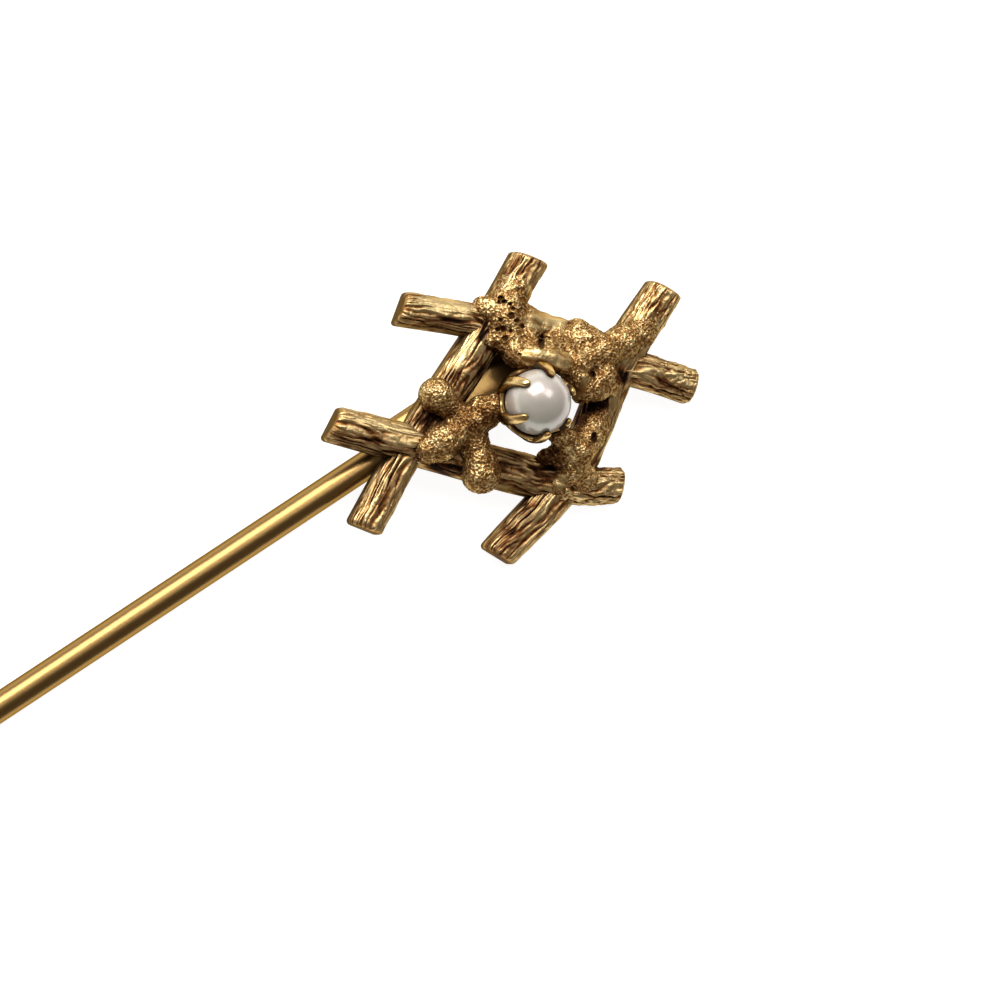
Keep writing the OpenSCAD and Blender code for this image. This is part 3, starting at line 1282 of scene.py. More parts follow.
@dataclass(frozen=True)
class Stem:
    """The polished round wire, with its point and its flattened end. Lengths are in millimetres.

    Places along the stem's line are counted from the middle of the head, with the point on the low side.

    Attributes:
        diameter: Diameter of the wire.
        root: Diameter just before the flattened end.
        length: Distance of the point from the middle of the head.
        point: Length of the tapered point.
        tip: Diameter of the rounded tip.
        pad_width: Width of the flattened end.
        pad_height: Thickness of the flattened end.
        pad_z: Height of its centre over the backs of the twigs.
        pad_from: Where the flattened end has its full width.
        pad_to: Where the flattened end ends.
        blend: Length over which the wire turns into the flattened end.
        roll: Turn of the flattened end about the stem's line, in degrees.
        round_to: Where the wire has its full diameter for the last time.
        pad_square: Squareness of the flattened end's section.
        nose_power: How late its rounded end thins, below 1 for late.
        relief: Relief of the whole stem.
        around: Steps round the stem.
        tip_rings: Rings over the tip.
        taper_rings: Rings along the point.
        wire_rings: Rings along the plain wire.
        root_rings: Rings along the root.
        blend_rings: Rings from the root to the flattened end.
        pad_rings: Rings along the flattened end.
        nose_rings: Rings over its rounded end.
    """

    diameter: float = 1.1
    root: float = 1.09
    length: float = 55.0
    point: float = 8.0
    tip: float = 0.12
    pad_width: float = 2.1
    pad_height: float = 0.9
    pad_z: float = -0.12
    pad_from: float = -5.375
    pad_to: float = 2.9
    blend: float = 1.0
    roll: float = 12.0
    round_to: float = -8.607
    pad_square: float = 2.3
    nose_power: float = 0.35
    relief: float = 0.9
    around: int = 64
    tip_rings: int = 6
    taper_rings: int = 40
    wire_rings: int = 70
    root_rings: int = 10
    blend_rings: int = 14
    pad_rings: int = 60
    nose_rings: int = 16

    def wire(self) -> list[Section]:
        """The sections from the point to where the wire begins to flatten.

        Returns:
            Sections in order along the stem's line.
        """
        z, full = PLACE.stem_z, self.diameter / 2
        made = []
        for k in range(self.tip_rings + 1):
            angle = math.pi / 2 * k / self.tip_rings
            radius = self.tip / 2 * math.sin(angle)
            made.append(Section(-self.length + self.tip / 2 * (1 - math.cos(angle)), radius, radius, z))
        low, high = -self.length + self.tip / 2, -self.length + self.point
        for k in range(1, self.taper_rings + 1):
            share = k / self.taper_rings
            radius = lerp(self.tip / 2, full, share)
            made.append(Section(lerp(low, high, share), radius, radius, z))
        for k in range(1, self.wire_rings + 1):
            made.append(Section(lerp(high, self.round_to, k / self.wire_rings), full, full, z))
        start = self.pad_from - self.blend
        for k in range(1, self.root_rings + 1):
            share = k / self.root_rings
            radius = lerp(full, self.root / 2, share)
            made.append(Section(lerp(self.round_to, start, share), radius, radius, z))
        return made

    def pad(self) -> list[Section]:
        """The sections of the flattened end.

        Returns:
            Sections in order along the stem's line.
        """
        made = []
        start, nose = self.pad_from - self.blend, self.pad_to - self.pad_width / 2
        wide, high = self.pad_width / 2, self.pad_height / 2
        for k in range(1, self.blend_rings + 1):
            share = k / self.blend_rings
            ease = smooth_step(0.0, 1.0, share)
            made.append(
                Section(
                    lerp(start, self.pad_from, share),
                    lerp(self.root / 2, wide, ease),
                    lerp(self.root / 2, high, ease),
                    lerp(PLACE.stem_z, self.pad_z, ease),
                    lerp(ELLIPSE, self.pad_square, ease),
                )
            )
        for k in range(1, self.pad_rings + 1):
            place = lerp(self.pad_from, nose, k / self.pad_rings)
            made.append(Section(place, wide, high, self.pad_z, self.pad_square))
        for k in range(1, self.nose_rings + 1):
            angle = math.pi / 2 * k / self.nose_rings
            size = math.cos(angle)
            place, thin = nose + wide * math.sin(angle), high * size**self.nose_power
            made.append(Section(place, wide * size, thin, self.pad_z, self.pad_square))
        return made

    def build(self) -> bmesh.types.BMesh:
        """The stem's mesh.

        Returns:
            A closed mesh in the head's frame.
        """
        sections = self.wire() + self.pad()
        sections[-1] = Section(sections[-1].x, 0.0, 0.0, self.pad_z)
        turn = Matrix.Rotation(math.radians(PLACE.stem_angle), 4, "Z")

        def spot(ring: int, step: int) -> Spot:
            """Gives one vertex.

            Args:
                ring: Number of the ring.
                step: Number of the step round it.

            Returns:
                Its place, relief and share of hand-worked grain.
            """
            cut = sections[ring]
            angle = 2 * math.pi * step / self.around
            power = 2 / cut.square
            side = math.copysign(abs(math.cos(angle)) ** power, math.cos(angle))
            rise = math.copysign(abs(math.sin(angle)) ** power, math.sin(angle))
            out, up = cut.half_width * side, cut.half_height * rise
            roll = math.radians(self.roll) * smooth_step(self.pad_from - self.blend, self.pad_from, cut.x)
            across = out * math.cos(roll) + up * math.sin(roll)
            lift = up * math.cos(roll) - out * math.sin(roll)
            return turn @ Vector((cut.x, PLACE.stem_offset + across, cut.z + lift)), self.relief, 0.0

        return BENCH.grid(len(sections), self.around, spot)


class NodeBench:
    """A node tree with short calls that add and join nodes."""

    def __init__(self, tree: bpy.types.NodeTree) -> None:
        """Keeps the tree.

        Args:
            tree: The tree to build.
        """
        self.tree = tree

    def add(self, kind: str, settings: dict | None = None, values: dict | None = None) -> bpy.types.Node:
        """Adds a node.

        Args:
            kind: The node's type.
            settings: Its properties by name.
            values: Its sockets' values by name or number.

        Returns:
            The node.
        """
        node = self.tree.nodes.new(kind)
        for name, value in (settings or {}).items():
            setattr(node, name, value)
        for name, value in (values or {}).items():
            node.inputs[name].default_value = value
        return node

    def join(self, source: bpy.types.NodeSocket, target: bpy.types.NodeSocket) -> None:
        """Joins two sockets."""
        self.tree.links.new(source, target)

    def math(self, kind: str, first: object, second: object, clamp: bool = False) -> bpy.types.NodeSocket:
        """Adds a sum of two sockets or numbers.

        Args:
            kind: The operation.
            first: A socket or a number.
            second: A socket or a number.
            clamp: True to keep the result from 0 to 1.

        Returns:
            The result's socket.
        """
        node = self.add("ShaderNodeMath", {"operation": kind, "use_clamp": clamp})
        for number, value in enumerate((first, second)):
            if isinstance(value, bpy.types.NodeSocket):
                self.join(value, node.inputs[number])
            else:
                node.inputs[number].default_value = value
        return node.outputs[0]

    def swing(self, value: bpy.types.NodeSocket, amount: float) -> bpy.types.NodeSocket:
        """Centres a share from 0 to 1 on zero, and scales it.

        Args:
            value: The share's socket.
            amount: How far it swings in all.

        Returns:
            The result's socket.
        """
        return self.math("MULTIPLY", self.math("SUBTRACT", value, 0.5), amount)

    def noise(self, vector: bpy.types.NodeSocket, scale: float, detail: float) -> bpy.types.NodeSocket:
        """Adds a noise texture.

        Args:
            vector: Where it is read.
            scale: How fine it is.
            detail: How many finer layers it has.

        Returns:
            Its value's socket.
        """
        node = self.add("ShaderNodeTexNoise", None, {"Scale": scale, "Detail": detail})
        self.join(vector, node.inputs["Vector"])
        return node.outputs["Fac"]

    def ramp(self, value: bpy.types.NodeSocket, stops: Stops) -> bpy.types.NodeSocket:
        """Adds a colour ramp.

        Args:
            value: What it reads.
            stops: Places and linear colours.

        Returns:
            The colour's socket.
        """
        node = self.add("ShaderNodeValToRGB")
        elements = node.color_ramp.elements
        while len(elements) < len(stops):
            elements.new(0.5)
        for element, (place, colour) in zip(elements, stops):
            element.position = place
            element.color = (*colour, 1.0)
        self.join(value, node.inputs["Fac"])
        return node.outputs["Color"]

    def millimetres(self) -> bpy.types.NodeSocket:
        """Adds the object's own coordinates.

        Returns:
            Their socket, in millimetres.
        """
        place = self.add("ShaderNodeTexCoord")
        fit = self.add("ShaderNodeMapping", None, {"Scale": [1 / MM] * 3})
        self.join(place.outputs["Object"], fit.inputs["Vector"])
        return fit.outputs["Vector"]

    def spread(self, value: bpy.types.NodeSocket, low: float, high: float) -> bpy.types.NodeSocket:
        """Maps a share from 0 to 1 onto a range.

        Args:
            value: The share's socket.
            low: What 0 becomes.
            high: What 1 becomes.

        Returns:
            The result's socket.
        """
        node = self.add("ShaderNodeMapRange", None, {"To Min": low, "To Max": high})
        self.join(value, node.inputs["Value"])
        return node.outputs["Result"]


@dataclass(frozen=True)
class OldGilding:
    """The shared colouring of old gilding: dark in the grooves and where neighbours shut out the sky, pale
    on high, open ridges.
    The patches of painted highlight and painted shade reach it through the relief and sky that they change.

    Attributes:
        blotches: How fine the blotches of soil are, per millimetre.
        blotch_layers: Finer layers of the blotches.
        specks: How fine the specks of soil are, per millimetre.
        speck_layers: Finer layers of the specks.
        pores: How fine the pores of the skin are, per millimetre.
        pore_layers: Finer layers of the pores.
        low_soil: Soil at the bottom of a groove.
        shade_soil: Darkening where no sky is open.
        blotch_soil: How far the blotches change the soil.
        speck_soil: How far the specks change the soil.
        clean: Soil that leaves no trace.
        sky_rub: How much an open sky adds to the pale shine.
        speck_rub: How far the specks change the rubbing.
        speck_height: Part of the specks in the bumps.
        pore_height: Part of the pores in the bumps.
    """

    blotches: float = 0.8
    blotch_layers: float = 3.0
    specks: float = 7.0
    speck_layers: float = 4.0
    pores: float = 16.0
    pore_layers: float = 3.0
    low_soil: float = 0.85
    shade_soil: float = 0.95
    blotch_soil: float = 0.55
    speck_soil: float = 0.6
    clean: float = 0.18
    sky_rub: float = 0.5
    speck_rub: float = 0.5
    speck_height: float = 0.7
    pore_height: float = 0.3

    def sockets(self) -> bpy.types.ShaderNodeTree:
        """An empty group with the effect's sockets.

        Returns:
            A group with inputs Vector, Relief, Sky, Soiling and Rubbing, and outputs Soil, Shine and Height.
        """
        group = bpy.data.node_groups.new("old_gilding", "ShaderNodeTree")
        face = group.interface
        face.new_socket("Vector", in_out="INPUT", socket_type="NodeSocketVector")
        for name in ("Relief", "Sky", "Soiling", "Rubbing"):
            face.new_socket(name, in_out="INPUT", socket_type="NodeSocketFloat")
        for name in ("Soil", "Shine", "Height"):
            face.new_socket(name, in_out="OUTPUT", socket_type="NodeSocketFloat")
        return group

    def build(self) -> bpy.types.ShaderNodeTree:
        """Makes the group.

        Returns:
            The group, filled.
        """
        group = self.sockets()
        bench = NodeBench(group)
        inside, out = bench.add("NodeGroupInput"), bench.add("NodeGroupOutput")
        vector, relief = inside.outputs["Vector"], inside.outputs["Relief"]
        sky, soiling = inside.outputs["Sky"], inside.outputs["Soiling"]
        blotch = bench.noise(vector, self.blotches, self.blotch_layers)
        speck = bench.noise(vector, self.specks, self.speck_layers)
        # Through the relief and sky, the soil also paints the shade of the dark patches, and the shine the
        # highlights of the bright ones
        low = bench.math("MULTIPLY", bench.math("SUBTRACT", 1.0, relief), self.low_soil)
        shade = bench.math("MULTIPLY", bench.math("SUBTRACT", 1.0, sky), self.shade_soil)
        soil = bench.math("ADD", low, shade)
        soil = bench.math("ADD", soil, bench.swing(blotch, self.blotch_soil))
        soil = bench.math("ADD", soil, bench.swing(speck, self.speck_soil))
        soil = bench.math("MULTIPLY", bench.math("SUBTRACT", soil, self.clean), soiling, clamp=True)
        rub = bench.math("ADD", relief, bench.math("MULTIPLY", sky, self.sky_rub))
        rub = bench.math("ADD", bench.math("SUBTRACT", rub, 1.0), bench.swing(speck, self.speck_rub))
        shine = bench.math("MULTIPLY", rub, inside.outputs["Rubbing"], clamp=True)
        bench.join(soil, out.inputs["Soil"])
        bench.join(shine, out.inputs["Shine"])
        pore = bench.noise(vector, self.pores, self.pore_layers)
        coarse = bench.math("MULTIPLY", speck, self.speck_height)
        fine = bench.math("MULTIPLY", pore, self.pore_height)
        bench.join(bench.math("ADD", coarse, fine), out.inputs["Height"])
        return group


@dataclass(frozen=True)
class GoldFinish:
    """Antique gold, as it looks on one kind of surface.

    Attributes:
        name: The material's name.
        soiling: How strongly the recesses darken.
        rubbing: How strongly the ridges shine.
        smooth: Roughness of clean metal.
        rough: Roughness of metal darkened by dirt and painted shade.
        bump: Depth of the fine bumps in metres.
        clean: Colour of clean metal.
        warm: Colour of lightly darkened metal.
        warm_at: Soil at which it is reached.
        brown: Colour of darkened metal.
        brown_at: Soil at which it is reached.
        black: Colour of the deepest soil.
        shine: Colour of rubbed ridges.
        grey: Colour of the grey sides, tarnished metal and painted shade.
        rim: Tint of what the metal mirrors at a glancing angle.
        mirror: Strength of the soil's own mirroring.
        soiled_metal: How metallic the deepest soil is.
    """

    name: str
    soiling: float = 1.0
    rubbing: float = 1.6
    smooth: float = 0.36
    rough: float = 0.6
    bump: float = 0.00002
    clean: Colour = (0.56, 0.34, 0.11)
    warm: Colour = (0.30, 0.15, 0.045)
    warm_at: float = 0.3
    brown: Colour = (0.10, 0.036, 0.012)
    brown_at: float = 0.62
    black: Colour = (0.010, 0.004, 0.003)
    shine: Colour = (0.88, 0.64, 0.28)
    grey: Colour = (0.10, 0.085, 0.05)
    rim: Colour = (0.55, 0.40, 0.20)
    mirror: float = 0.15
    soiled_metal: float = 0.45

    def build(self, group: bpy.types.ShaderNodeTree) -> bpy.types.Material:
        """Makes the material.

        Args:
            group: The shared effect of old gilding.

        Returns:
            The material.
        """
        material = bpy.data.materials.new(self.name)
        material.use_nodes = True
        bench = NodeBench(material.node_tree)
        shader = material.node_tree.nodes["Principled BSDF"]
        place = bench.millimetres()
        marks = bench.add("ShaderNodeAttribute", {"attribute_name": PATINA_AND_PAINTED_LIGHT})
        parts = bench.add("ShaderNodeSeparateColor")
        bench.join(marks.outputs["Color"], parts.inputs["Color"])
        old = bench.add("ShaderNodeGroup", {"node_tree": group})
        old.inputs["Soiling"].default_value = self.soiling
        old.inputs["Rubbing"].default_value = self.rubbing
        bench.join(place, old.inputs["Vector"])
        bench.join(parts.outputs["Red"], old.inputs["Relief"])
        bench.join(parts.outputs["Green"], old.inputs["Sky"])
        # The soil brings the dark of the grooves and the painted shade of the dark patches
        soil = old.outputs["Soil"]
        stops = [
            (0.0, self.clean),
            (self.warm_at, self.warm),
            (self.brown_at, self.brown),
            (1.0, self.black),
        ]
        colour = bench.ramp(soil, stops)
        # Pale shine on rubbed ridges, which also paints the highlights of the bright patches
        mix = bench.add("ShaderNodeMix", {"data_type": "RGBA"})
        bench.join(old.outputs["Shine"], mix.inputs["Factor"])
        bench.join(colour, mix.inputs[MIX_FIRST])
        mix.inputs[MIX_SECOND].default_value = (*self.shine, 1.0)
        # Grey on the sides, from the alpha: tarnished metal and painted shade
        grey = bench.add("ShaderNodeMix", {"data_type": "RGBA"})
        bench.join(marks.outputs["Alpha"], grey.inputs["Factor"])
        bench.join(mix.outputs[MIX_RESULT], grey.inputs[MIX_FIRST])
        grey.inputs[MIX_SECOND].default_value = (*self.grey, 1.0)
        bench.join(grey.outputs[MIX_RESULT], shader.inputs["Base Color"])
        bench.join(bench.spread(soil, self.smooth, self.rough), shader.inputs["Roughness"])
        bench.join(bench.spread(soil, 1.0, self.soiled_metal), shader.inputs["Metallic"])
        shader.inputs["Specular IOR Level"].default_value = self.mirror
        shader.inputs["Specular Tint"].default_value = (*self.rim, 1.0)
        bump = bench.add("ShaderNodeBump", None, {"Strength": 1.0, "Distance": self.bump})
        bench.join(old.outputs["Height"], bump.inputs["Height"])
        bench.join(bump.outputs["Normal"], shader.inputs["Normal"])
        return material


@dataclass(frozen=True)
class PearlFinish:
    """Soft pearl lustre over a pale body with faint rose and green clouds.

    Attributes:
        name: The material's name.
        body: Colour of the body.
        rose: Colour of the rose clouds.
        green: Colour of the green clouds.
        cloud_stops: Places of rose, body and green in the clouds.
        clouds: How fine the clouds are, per millimetre.
        cloud_layers: Finer layers of the clouds.
        ripples: How fine the skin's ripples are, per millimetre.
        ripple_layers: Finer layers of the ripples.
        bump: Depth of the ripples in metres.
        rough: Roughness of the body.
        metal: How metallic the body is.
        mirror: Strength of the body's mirroring.
        coat: Strength of the clear skin over the body.
        coat_rough: Roughness of the skin.
        coat_index: Refractive index of the skin.
        sheen: Strength of the glow at the edge.
    """

    name: str = "pearl_lustre"
    body: Colour = (0.62, 0.565, 0.495)
    rose: Colour = (0.60, 0.51, 0.46)
    green: Colour = (0.62, 0.605, 0.515)
    cloud_stops: tuple[float, float, float] = (0.3, 0.5, 0.7)
    clouds: float = 1.1
    cloud_layers: float = 2.0
    ripples: float = 3.0
    ripple_layers: float = 3.0
    bump: float = 0.000006
    rough: float = 0.3
    metal: float = 0.3
    mirror: float = 0.4
    coat: float = 0.65
    coat_rough: float = 0.09
    coat_index: float = 1.6
    sheen: float = 0.1

    def build(self) -> bpy.types.Material:
        """Makes the material.

        Returns:
            The material.
        """
        material = bpy.data.materials.new(self.name)
        material.use_nodes = True
        bench = NodeBench(material.node_tree)
        shader = material.node_tree.nodes["Principled BSDF"]
        place = bench.millimetres()
        cloud = bench.noise(place, self.clouds, self.cloud_layers)
        stops = list(zip(self.cloud_stops, (self.rose, self.body, self.green)))
        bench.join(bench.ramp(cloud, stops), shader.inputs["Base Color"])
        shader.inputs["Roughness"].default_value = self.rough
        shader.inputs["Metallic"].default_value = self.metal
        shader.inputs["Specular IOR Level"].default_value = self.mirror
        shader.inputs["Coat Weight"].default_value = self.coat
        shader.inputs["Coat Roughness"].default_value = self.coat_rough
        shader.inputs["Coat IOR"].default_value = self.coat_index
        shader.inputs["Sheen Weight"].default_value = self.sheen
        ripple = bench.noise(place, self.ripples, self.ripple_layers)
        bump = bench.add("ShaderNodeBump", None, {"Strength": 1.0, "Distance": self.bump})
        bench.join(ripple, bump.inputs["Height"])
        bench.join(bump.outputs["Normal"], shader.inputs["Normal"])
        return material


def ball_rays(count: int) -> tuple[Vector, ...]:
    """Directions spread evenly over a ball.

    Args:
        count: How many.

    Returns:
        Unit vectors on a spiral from pole to pole.
    """
    golden = math.pi * (3 - math.sqrt(5))
    rays = []
    for k in range(count):
        z = 1 - 2 * (k + 0.5) / count
        flat = math.sqrt(1 - z * z)
        rays.append(Vector((flat * math.cos(golden * k), flat * math.sin(golden * k), z)))
    return tuple(rays)


@dataclass(frozen=True)
class SkyAndPatches:
    """Darkens the metal where neighbours shut out the sky, and lays on the patches of painted highlight and
    painted shade.

    Attributes:
        rays: Directions that look for neighbours, spread evenly over a ball.
        reach: How far a neighbour darkens, in millimetres.
        lift: How far off the skin a ray starts, in millimetres.
        least: Least facing of a ray that counts.
        ease: How much weaker a neighbour at the full reach darkens.
        relief_gain: Relief that a full painted highlight adds.
        sky_gain: Open sky that a full painted highlight adds.
        sky_loss: Share of the open sky that full painted shade takes.
        front_from: Facing the front at which the painted highlights begin.
        front_to: Facing the front from which the painted highlights are full.
    """

    rays: tuple[Vector, ...]
    reach: float = 1.6
    lift: float = 0.012
    least: float = 0.15
    ease: float = 0.6
    relief_gain: float = 0.35
    sky_gain: float = 0.25
    sky_loss: float = 0.75
    front_from: float = -0.1
    front_to: float = 0.3

    def open_sky(self, place: Vector, normal: Vector, crowd: BVHTree, shade: float) -> float:
        """The open share of the sky over a place.

        Args:
            place: A place on the skin.
            normal: The skin's normal there.
            crowd: All the pieces.
            shade: How strongly neighbours darken the piece.

        Returns:
            A share, 1 in the open.
        """
        start = place + normal * self.lift
        shut = total = 0.0
        for ray in self.rays:
            facing = ray.dot(normal)
            if facing < self.least:
                continue
            total += facing
            far = crowd.ray_cast(start, ray, self.reach)[3]
            if far is not None:
                shut += facing * (1 - self.ease * far / self.reach)
        return 1 - shade * shut / total


@dataclass
class Piece:
    """One named piece on its way to the row frame.

    Attributes:
        name: The piece's name.
        bm: Its mesh in the head's frame.
        slot: The record's slot that its finish comes from.
        node: The solid that it stands for.
        material: Its finish.
        side_tarnish_and_shade: How far its sides have gone grey, as tarnished metal and painted shade.
        side_from: Share of facing the front below which the sides turn grey, as tarnished metal and painted
            shade.
        shade: How strongly neighbours darken it.
        light_and_wear: Its patches of painted highlight and painted shade.
    """

    name: str
    bm: bmesh.types.BMesh
    slot: Slot
    node: Node
    material: bpy.types.Material
    side_tarnish_and_shade: float = 0.9
    side_from: float = 0.55
    shade: float = 1.0
    light_and_wear: tuple[LightAndWearPatch, ...] = PAINTED_LIGHT_AND_WEAR

    def sky_and_patches(self, sky_and_patches: SkyAndPatches, crowd: BVHTree) -> None:
        """Writes the open sky, the patches of painted highlight and painted shade, and the grey of the sides
        into the patina attribute.

        Args:
            sky_and_patches: How the open sky and the patches of painted highlight and painted shade are
                worked out.
            crowd: All the pieces.
        """
        patina_and_painted_light = self.bm.verts.layers.float_color[PATINA_AND_PAINTED_LIGHT]
        self.bm.normal_update()
        for vert in self.bm.verts:
            relief, _, worked, _ = vert[patina_and_painted_light]
            sky = sky_and_patches.open_sky(vert.co, vert.normal, crowd, self.shade)
            # The sides that turn from the front go grey: tarnished metal and painted shade
            side = 1 - smooth_step(0.0, self.side_from, vert.normal.z)
            front = smooth_step(sky_and_patches.front_from, sky_and_patches.front_to, vert.normal.z)
            # Bright patches paint highlights by raising the relief and the sky; dark patches paint shade by
            # taking sky away
            lit_and_worn = sum(light_and_wear.at(*VIEW.seen_at(vert.co)) for light_and_wear in self.light_and_wear)
            rubbed, shaded_and_soiled = max(lit_and_worn, 0.0) * front, min(max(-lit_and_worn, 0.0), 1.0)
            relief = min(1.0, relief + sky_and_patches.relief_gain * rubbed)
            sky = min(1.0, sky + sky_and_patches.sky_gain * rubbed) * (1 - sky_and_patches.sky_loss * shaded_and_soiled)
            vert[patina_and_painted_light] = (relief, sky, worked, self.side_tarnish_and_shade * side * (1 - shaded_and_soiled))

    def finish(self, to_row: Matrix) -> bpy.types.Object:
        """Places the mesh in the row frame, dresses it and hands it to the frame.

        Args:
            to_row: Carries the head's frame to the row frame.

        Returns:
            The finished object.
        """
        mesh = bpy.data.meshes.new(self.name)
        bmesh.ops.transform(self.bm, matrix=to_row, verts=self.bm.verts)
        for face in self.bm.faces:
            face.smooth = True
        self.bm.to_mesh(mesh)
        self.bm.free()
        mesh.materials.append(self.material)
        made = bpy.data.objects.new(self.name, mesh)
        bpy.context.scene.collection.objects.link(made)
        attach(made, "root")
        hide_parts(self.node.value)
        triangles = sum(len(face.vertices) - 2 for face in mesh.polygons)
        log.info("%s: %d triangles", self.name, triangles)
        return made


def crowd_tree(pieces: list[Piece]) -> BVHTree:
    """One search tree over all the pieces.

    Args:
        pieces: The pieces, all in the head's frame.

    Returns:
        The tree.
    """
    verts: list[Vector] = []
    faces: list[tuple[int, ...]] = []
    for piece in pieces:
        base = len(verts)
        piece.bm.verts.index_update()
        verts += [vert.co.copy() for vert in piece.bm.verts]
        faces += [tuple(base + vert.index for vert in face.verts) for face in piece.bm.faces]
    return BVHTree.FromPolygons(verts, faces)


UPPER_LEFT_ARMS = (
    (Ball(0.25, 4.90, 0.25, 0.64), Ball(-0.10, 4.25, 0.40, 0.70), Ball(-0.40, 3.60, 0.55, 0.76)),
    (Ball(-0.40, 3.60, 0.55, 0.76), Ball(-0.45, 3.00, 0.70, 0.78), Ball(-0.25, 2.30, 0.90, 0.68)),
    (Ball(-0.45, 3.20, 0.65, 0.76), Ball(-1.00, 3.42, 0.62, 0.58), Ball(-1.28, 3.55, 0.60, 0.42)),
    (Ball(-0.45, 3.00, 0.70, 0.78), Ball(-0.95, 2.24, 0.85, 0.38), Ball(-0.25, 2.30, 0.90, 0.68)),
    (Ball(-0.25, 2.30, 0.90, 0.68), Ball(-0.05, 1.75, 1.30, 0.50), Ball(0.25, 1.62, 1.65, 0.46)),
    (Ball(-0.45, 3.00, 0.70, 0.78), Ball(0.25, 2.95, 0.50, 0.74), Ball(0.90, 2.72, 0.42, 0.66)),
    (Ball(0.90, 2.72, 0.42, 0.66), Ball(1.55, 2.55, 0.42, 0.64), Ball(2.20, 2.40, 0.42, 0.60)),
    (Ball(0.25, 2.95, 0.50, 0.74), Ball(0.35, 2.20, 1.00, 0.55), Ball(0.50, 1.90, 1.40, 0.50)),
    (Ball(0.50, 1.90, 1.40, 0.50), Ball(0.75, 1.62, 1.85, 0.48), Ball(1.15, 1.85, 1.45, 0.50)),
    (Ball(0.25, 1.62, 1.65, 0.46), Ball(0.75, 1.62, 1.85, 0.48), Ball(1.25, 1.58, 1.85, 0.48)),
    (Ball(1.25, 1.58, 1.85, 0.48), Ball(1.70, 1.42, 1.62, 0.46), Ball(2.05, 1.18, 1.50, 0.45)),
    (Ball(2.05, 1.18, 1.50, 0.45), Ball(2.30, 0.90, 1.48, 0.46)),
    (Ball(1.15, 1.85, 1.45, 0.50), Ball(1.50, 1.90, 1.15, 0.52), Ball(1.55, 2.55, 0.42, 0.64)),
)

UPPER_LEFT_MARKS = (
    Mark(-0.58, 3.90, 0.14, 0.10, 0.18),
    Mark(-0.46, 3.76, 0.13, 0.09, 0.16),
    Mark(-0.66, 3.74, 0.06, 0.08, 0.12),
    Mark(-0.24, 3.66, 0.09, 0.07, 0.12),
    Mark(0.03, 3.02, 0.12, 0.09, 0.12),
    Mark(0.24, 2.80, 0.08, 0.10, 0.10),
    Mark(-0.72, 2.68, 0.11, 0.08, 0.11),
    Mark(0.64, 4.55, 0.32, 1.15, 0.0, 57.0),
    Mark(1.10, 3.02, 0.95, 0.42),
    Mark(-0.18, 3.20, 0.15, 0.15, 0.15),
    Mark(-0.10, 3.47, 0.09, 0.09, 0.10),
    Mark(-0.60, 3.05, 0.09, 0.09, 0.10),
    Mark(-0.50, 2.70, 0.14, 0.13, 0.13),
    Mark(-0.20, 2.62, 0.08, 0.08, 0.09),
    Mark(-0.42, 2.35, 0.13, 0.12, 0.12),
    Mark(0.12, 1.70, 0.09, 0.09, 0.08),
    Mark(0.96, 2.19, 0.12, 0.28, 0.34),
    Mark(0.75, 1.60, 0.80, 0.40),
    Mark(1.60, 1.45, 0.60, 0.45),
)

UPPER_RIGHT_ARMS = (
    (Ball(5.25, 3.25, 0.28, 0.60), Ball(4.70, 2.60, 0.50, 0.68), Ball(4.10, 2.25, 0.78, 0.68)),
    (Ball(4.10, 2.25, 0.78, 0.68), Ball(3.40, 1.90, 1.00, 0.66), Ball(2.75, 1.60, 1.20, 0.58)),
    (Ball(2.75, 1.60, 1.20, 0.58), Ball(2.40, 1.35, 1.45, 0.50), Ball(2.05, 1.20, 1.50, 0.42)),
    (Ball(3.40, 1.90, 1.00, 0.66), Ball(2.75, 2.25, 0.85, 0.62), Ball(2.35, 2.60, 0.72, 0.54)),
    (Ball(2.35, 2.60, 0.72, 0.54), Ball(1.80, 2.20, 0.80, 0.54), Ball(2.75, 2.25, 0.85, 0.62)),
    (Ball(1.80, 2.20, 0.80, 0.54), Ball(1.85, 1.85, 1.20, 0.48), Ball(2.40, 1.35, 1.45, 0.50)),
    (Ball(3.40, 1.90, 1.00, 0.66), Ball(3.15, 1.45, 1.00, 0.58), Ball(3.25, 0.85, 1.15, 0.64)),
    (Ball(3.25, 0.85, 1.15, 0.64), Ball(3.05, 0.52, 1.20, 0.58), Ball(2.62, 0.44, 1.35, 0.50)),
    (Ball(3.25, 0.85, 1.15, 0.64), Ball(3.55, 0.65, 1.05, 0.50), Ball(3.05, 0.52, 1.20, 0.58)),
    (Ball(2.40, 1.35, 1.45, 0.50), Ball(2.45, 0.90, 1.45, 0.48), Ball(2.62, 0.44, 1.35, 0.50)),
    (Ball(2.62, 0.44, 1.35, 0.50), Ball(2.46, 0.20, 1.30, 0.34)),
)

UPPER_RIGHT_MARKS = (
    Mark(2.92, 0.98, 0.13, 0.13, 0.16),
    Mark(1.75, 1.50, 0.55, 0.45),
    Mark(2.42, 0.65, 0.36, 0.60),
)

LOWER_LEFT_ARMS = (
    (Ball(-3.05, 0.15, 1.05, 0.67), Ball(-2.45, -0.40, 0.95, 0.50), Ball(-1.85, -0.95, 0.95, 0.76)),
    (Ball(-1.85, -0.95, 0.95, 0.76), Ball(-1.25, -0.50, 1.15, 0.68), Ball(-0.80, -0.28, 1.35, 0.56)),
    (Ball(-3.35, -1.92, 0.95, 0.54), Ball(-2.80, -1.60, 1.00, 0.73), Ball(-2.25, -1.25, 0.95, 0.66)),
    (Ball(-2.25, -1.25, 0.95, 0.66), Ball(-1.85, -0.95, 0.95, 0.76), Ball(-1.62, -1.75, 0.95, 0.62)),
    (Ball(-1.62, -1.75, 0.95, 0.62), Ball(-1.40, -2.35, 1.00, 0.68), Ball(-1.35, -2.85, 1.00, 0.74)),
)

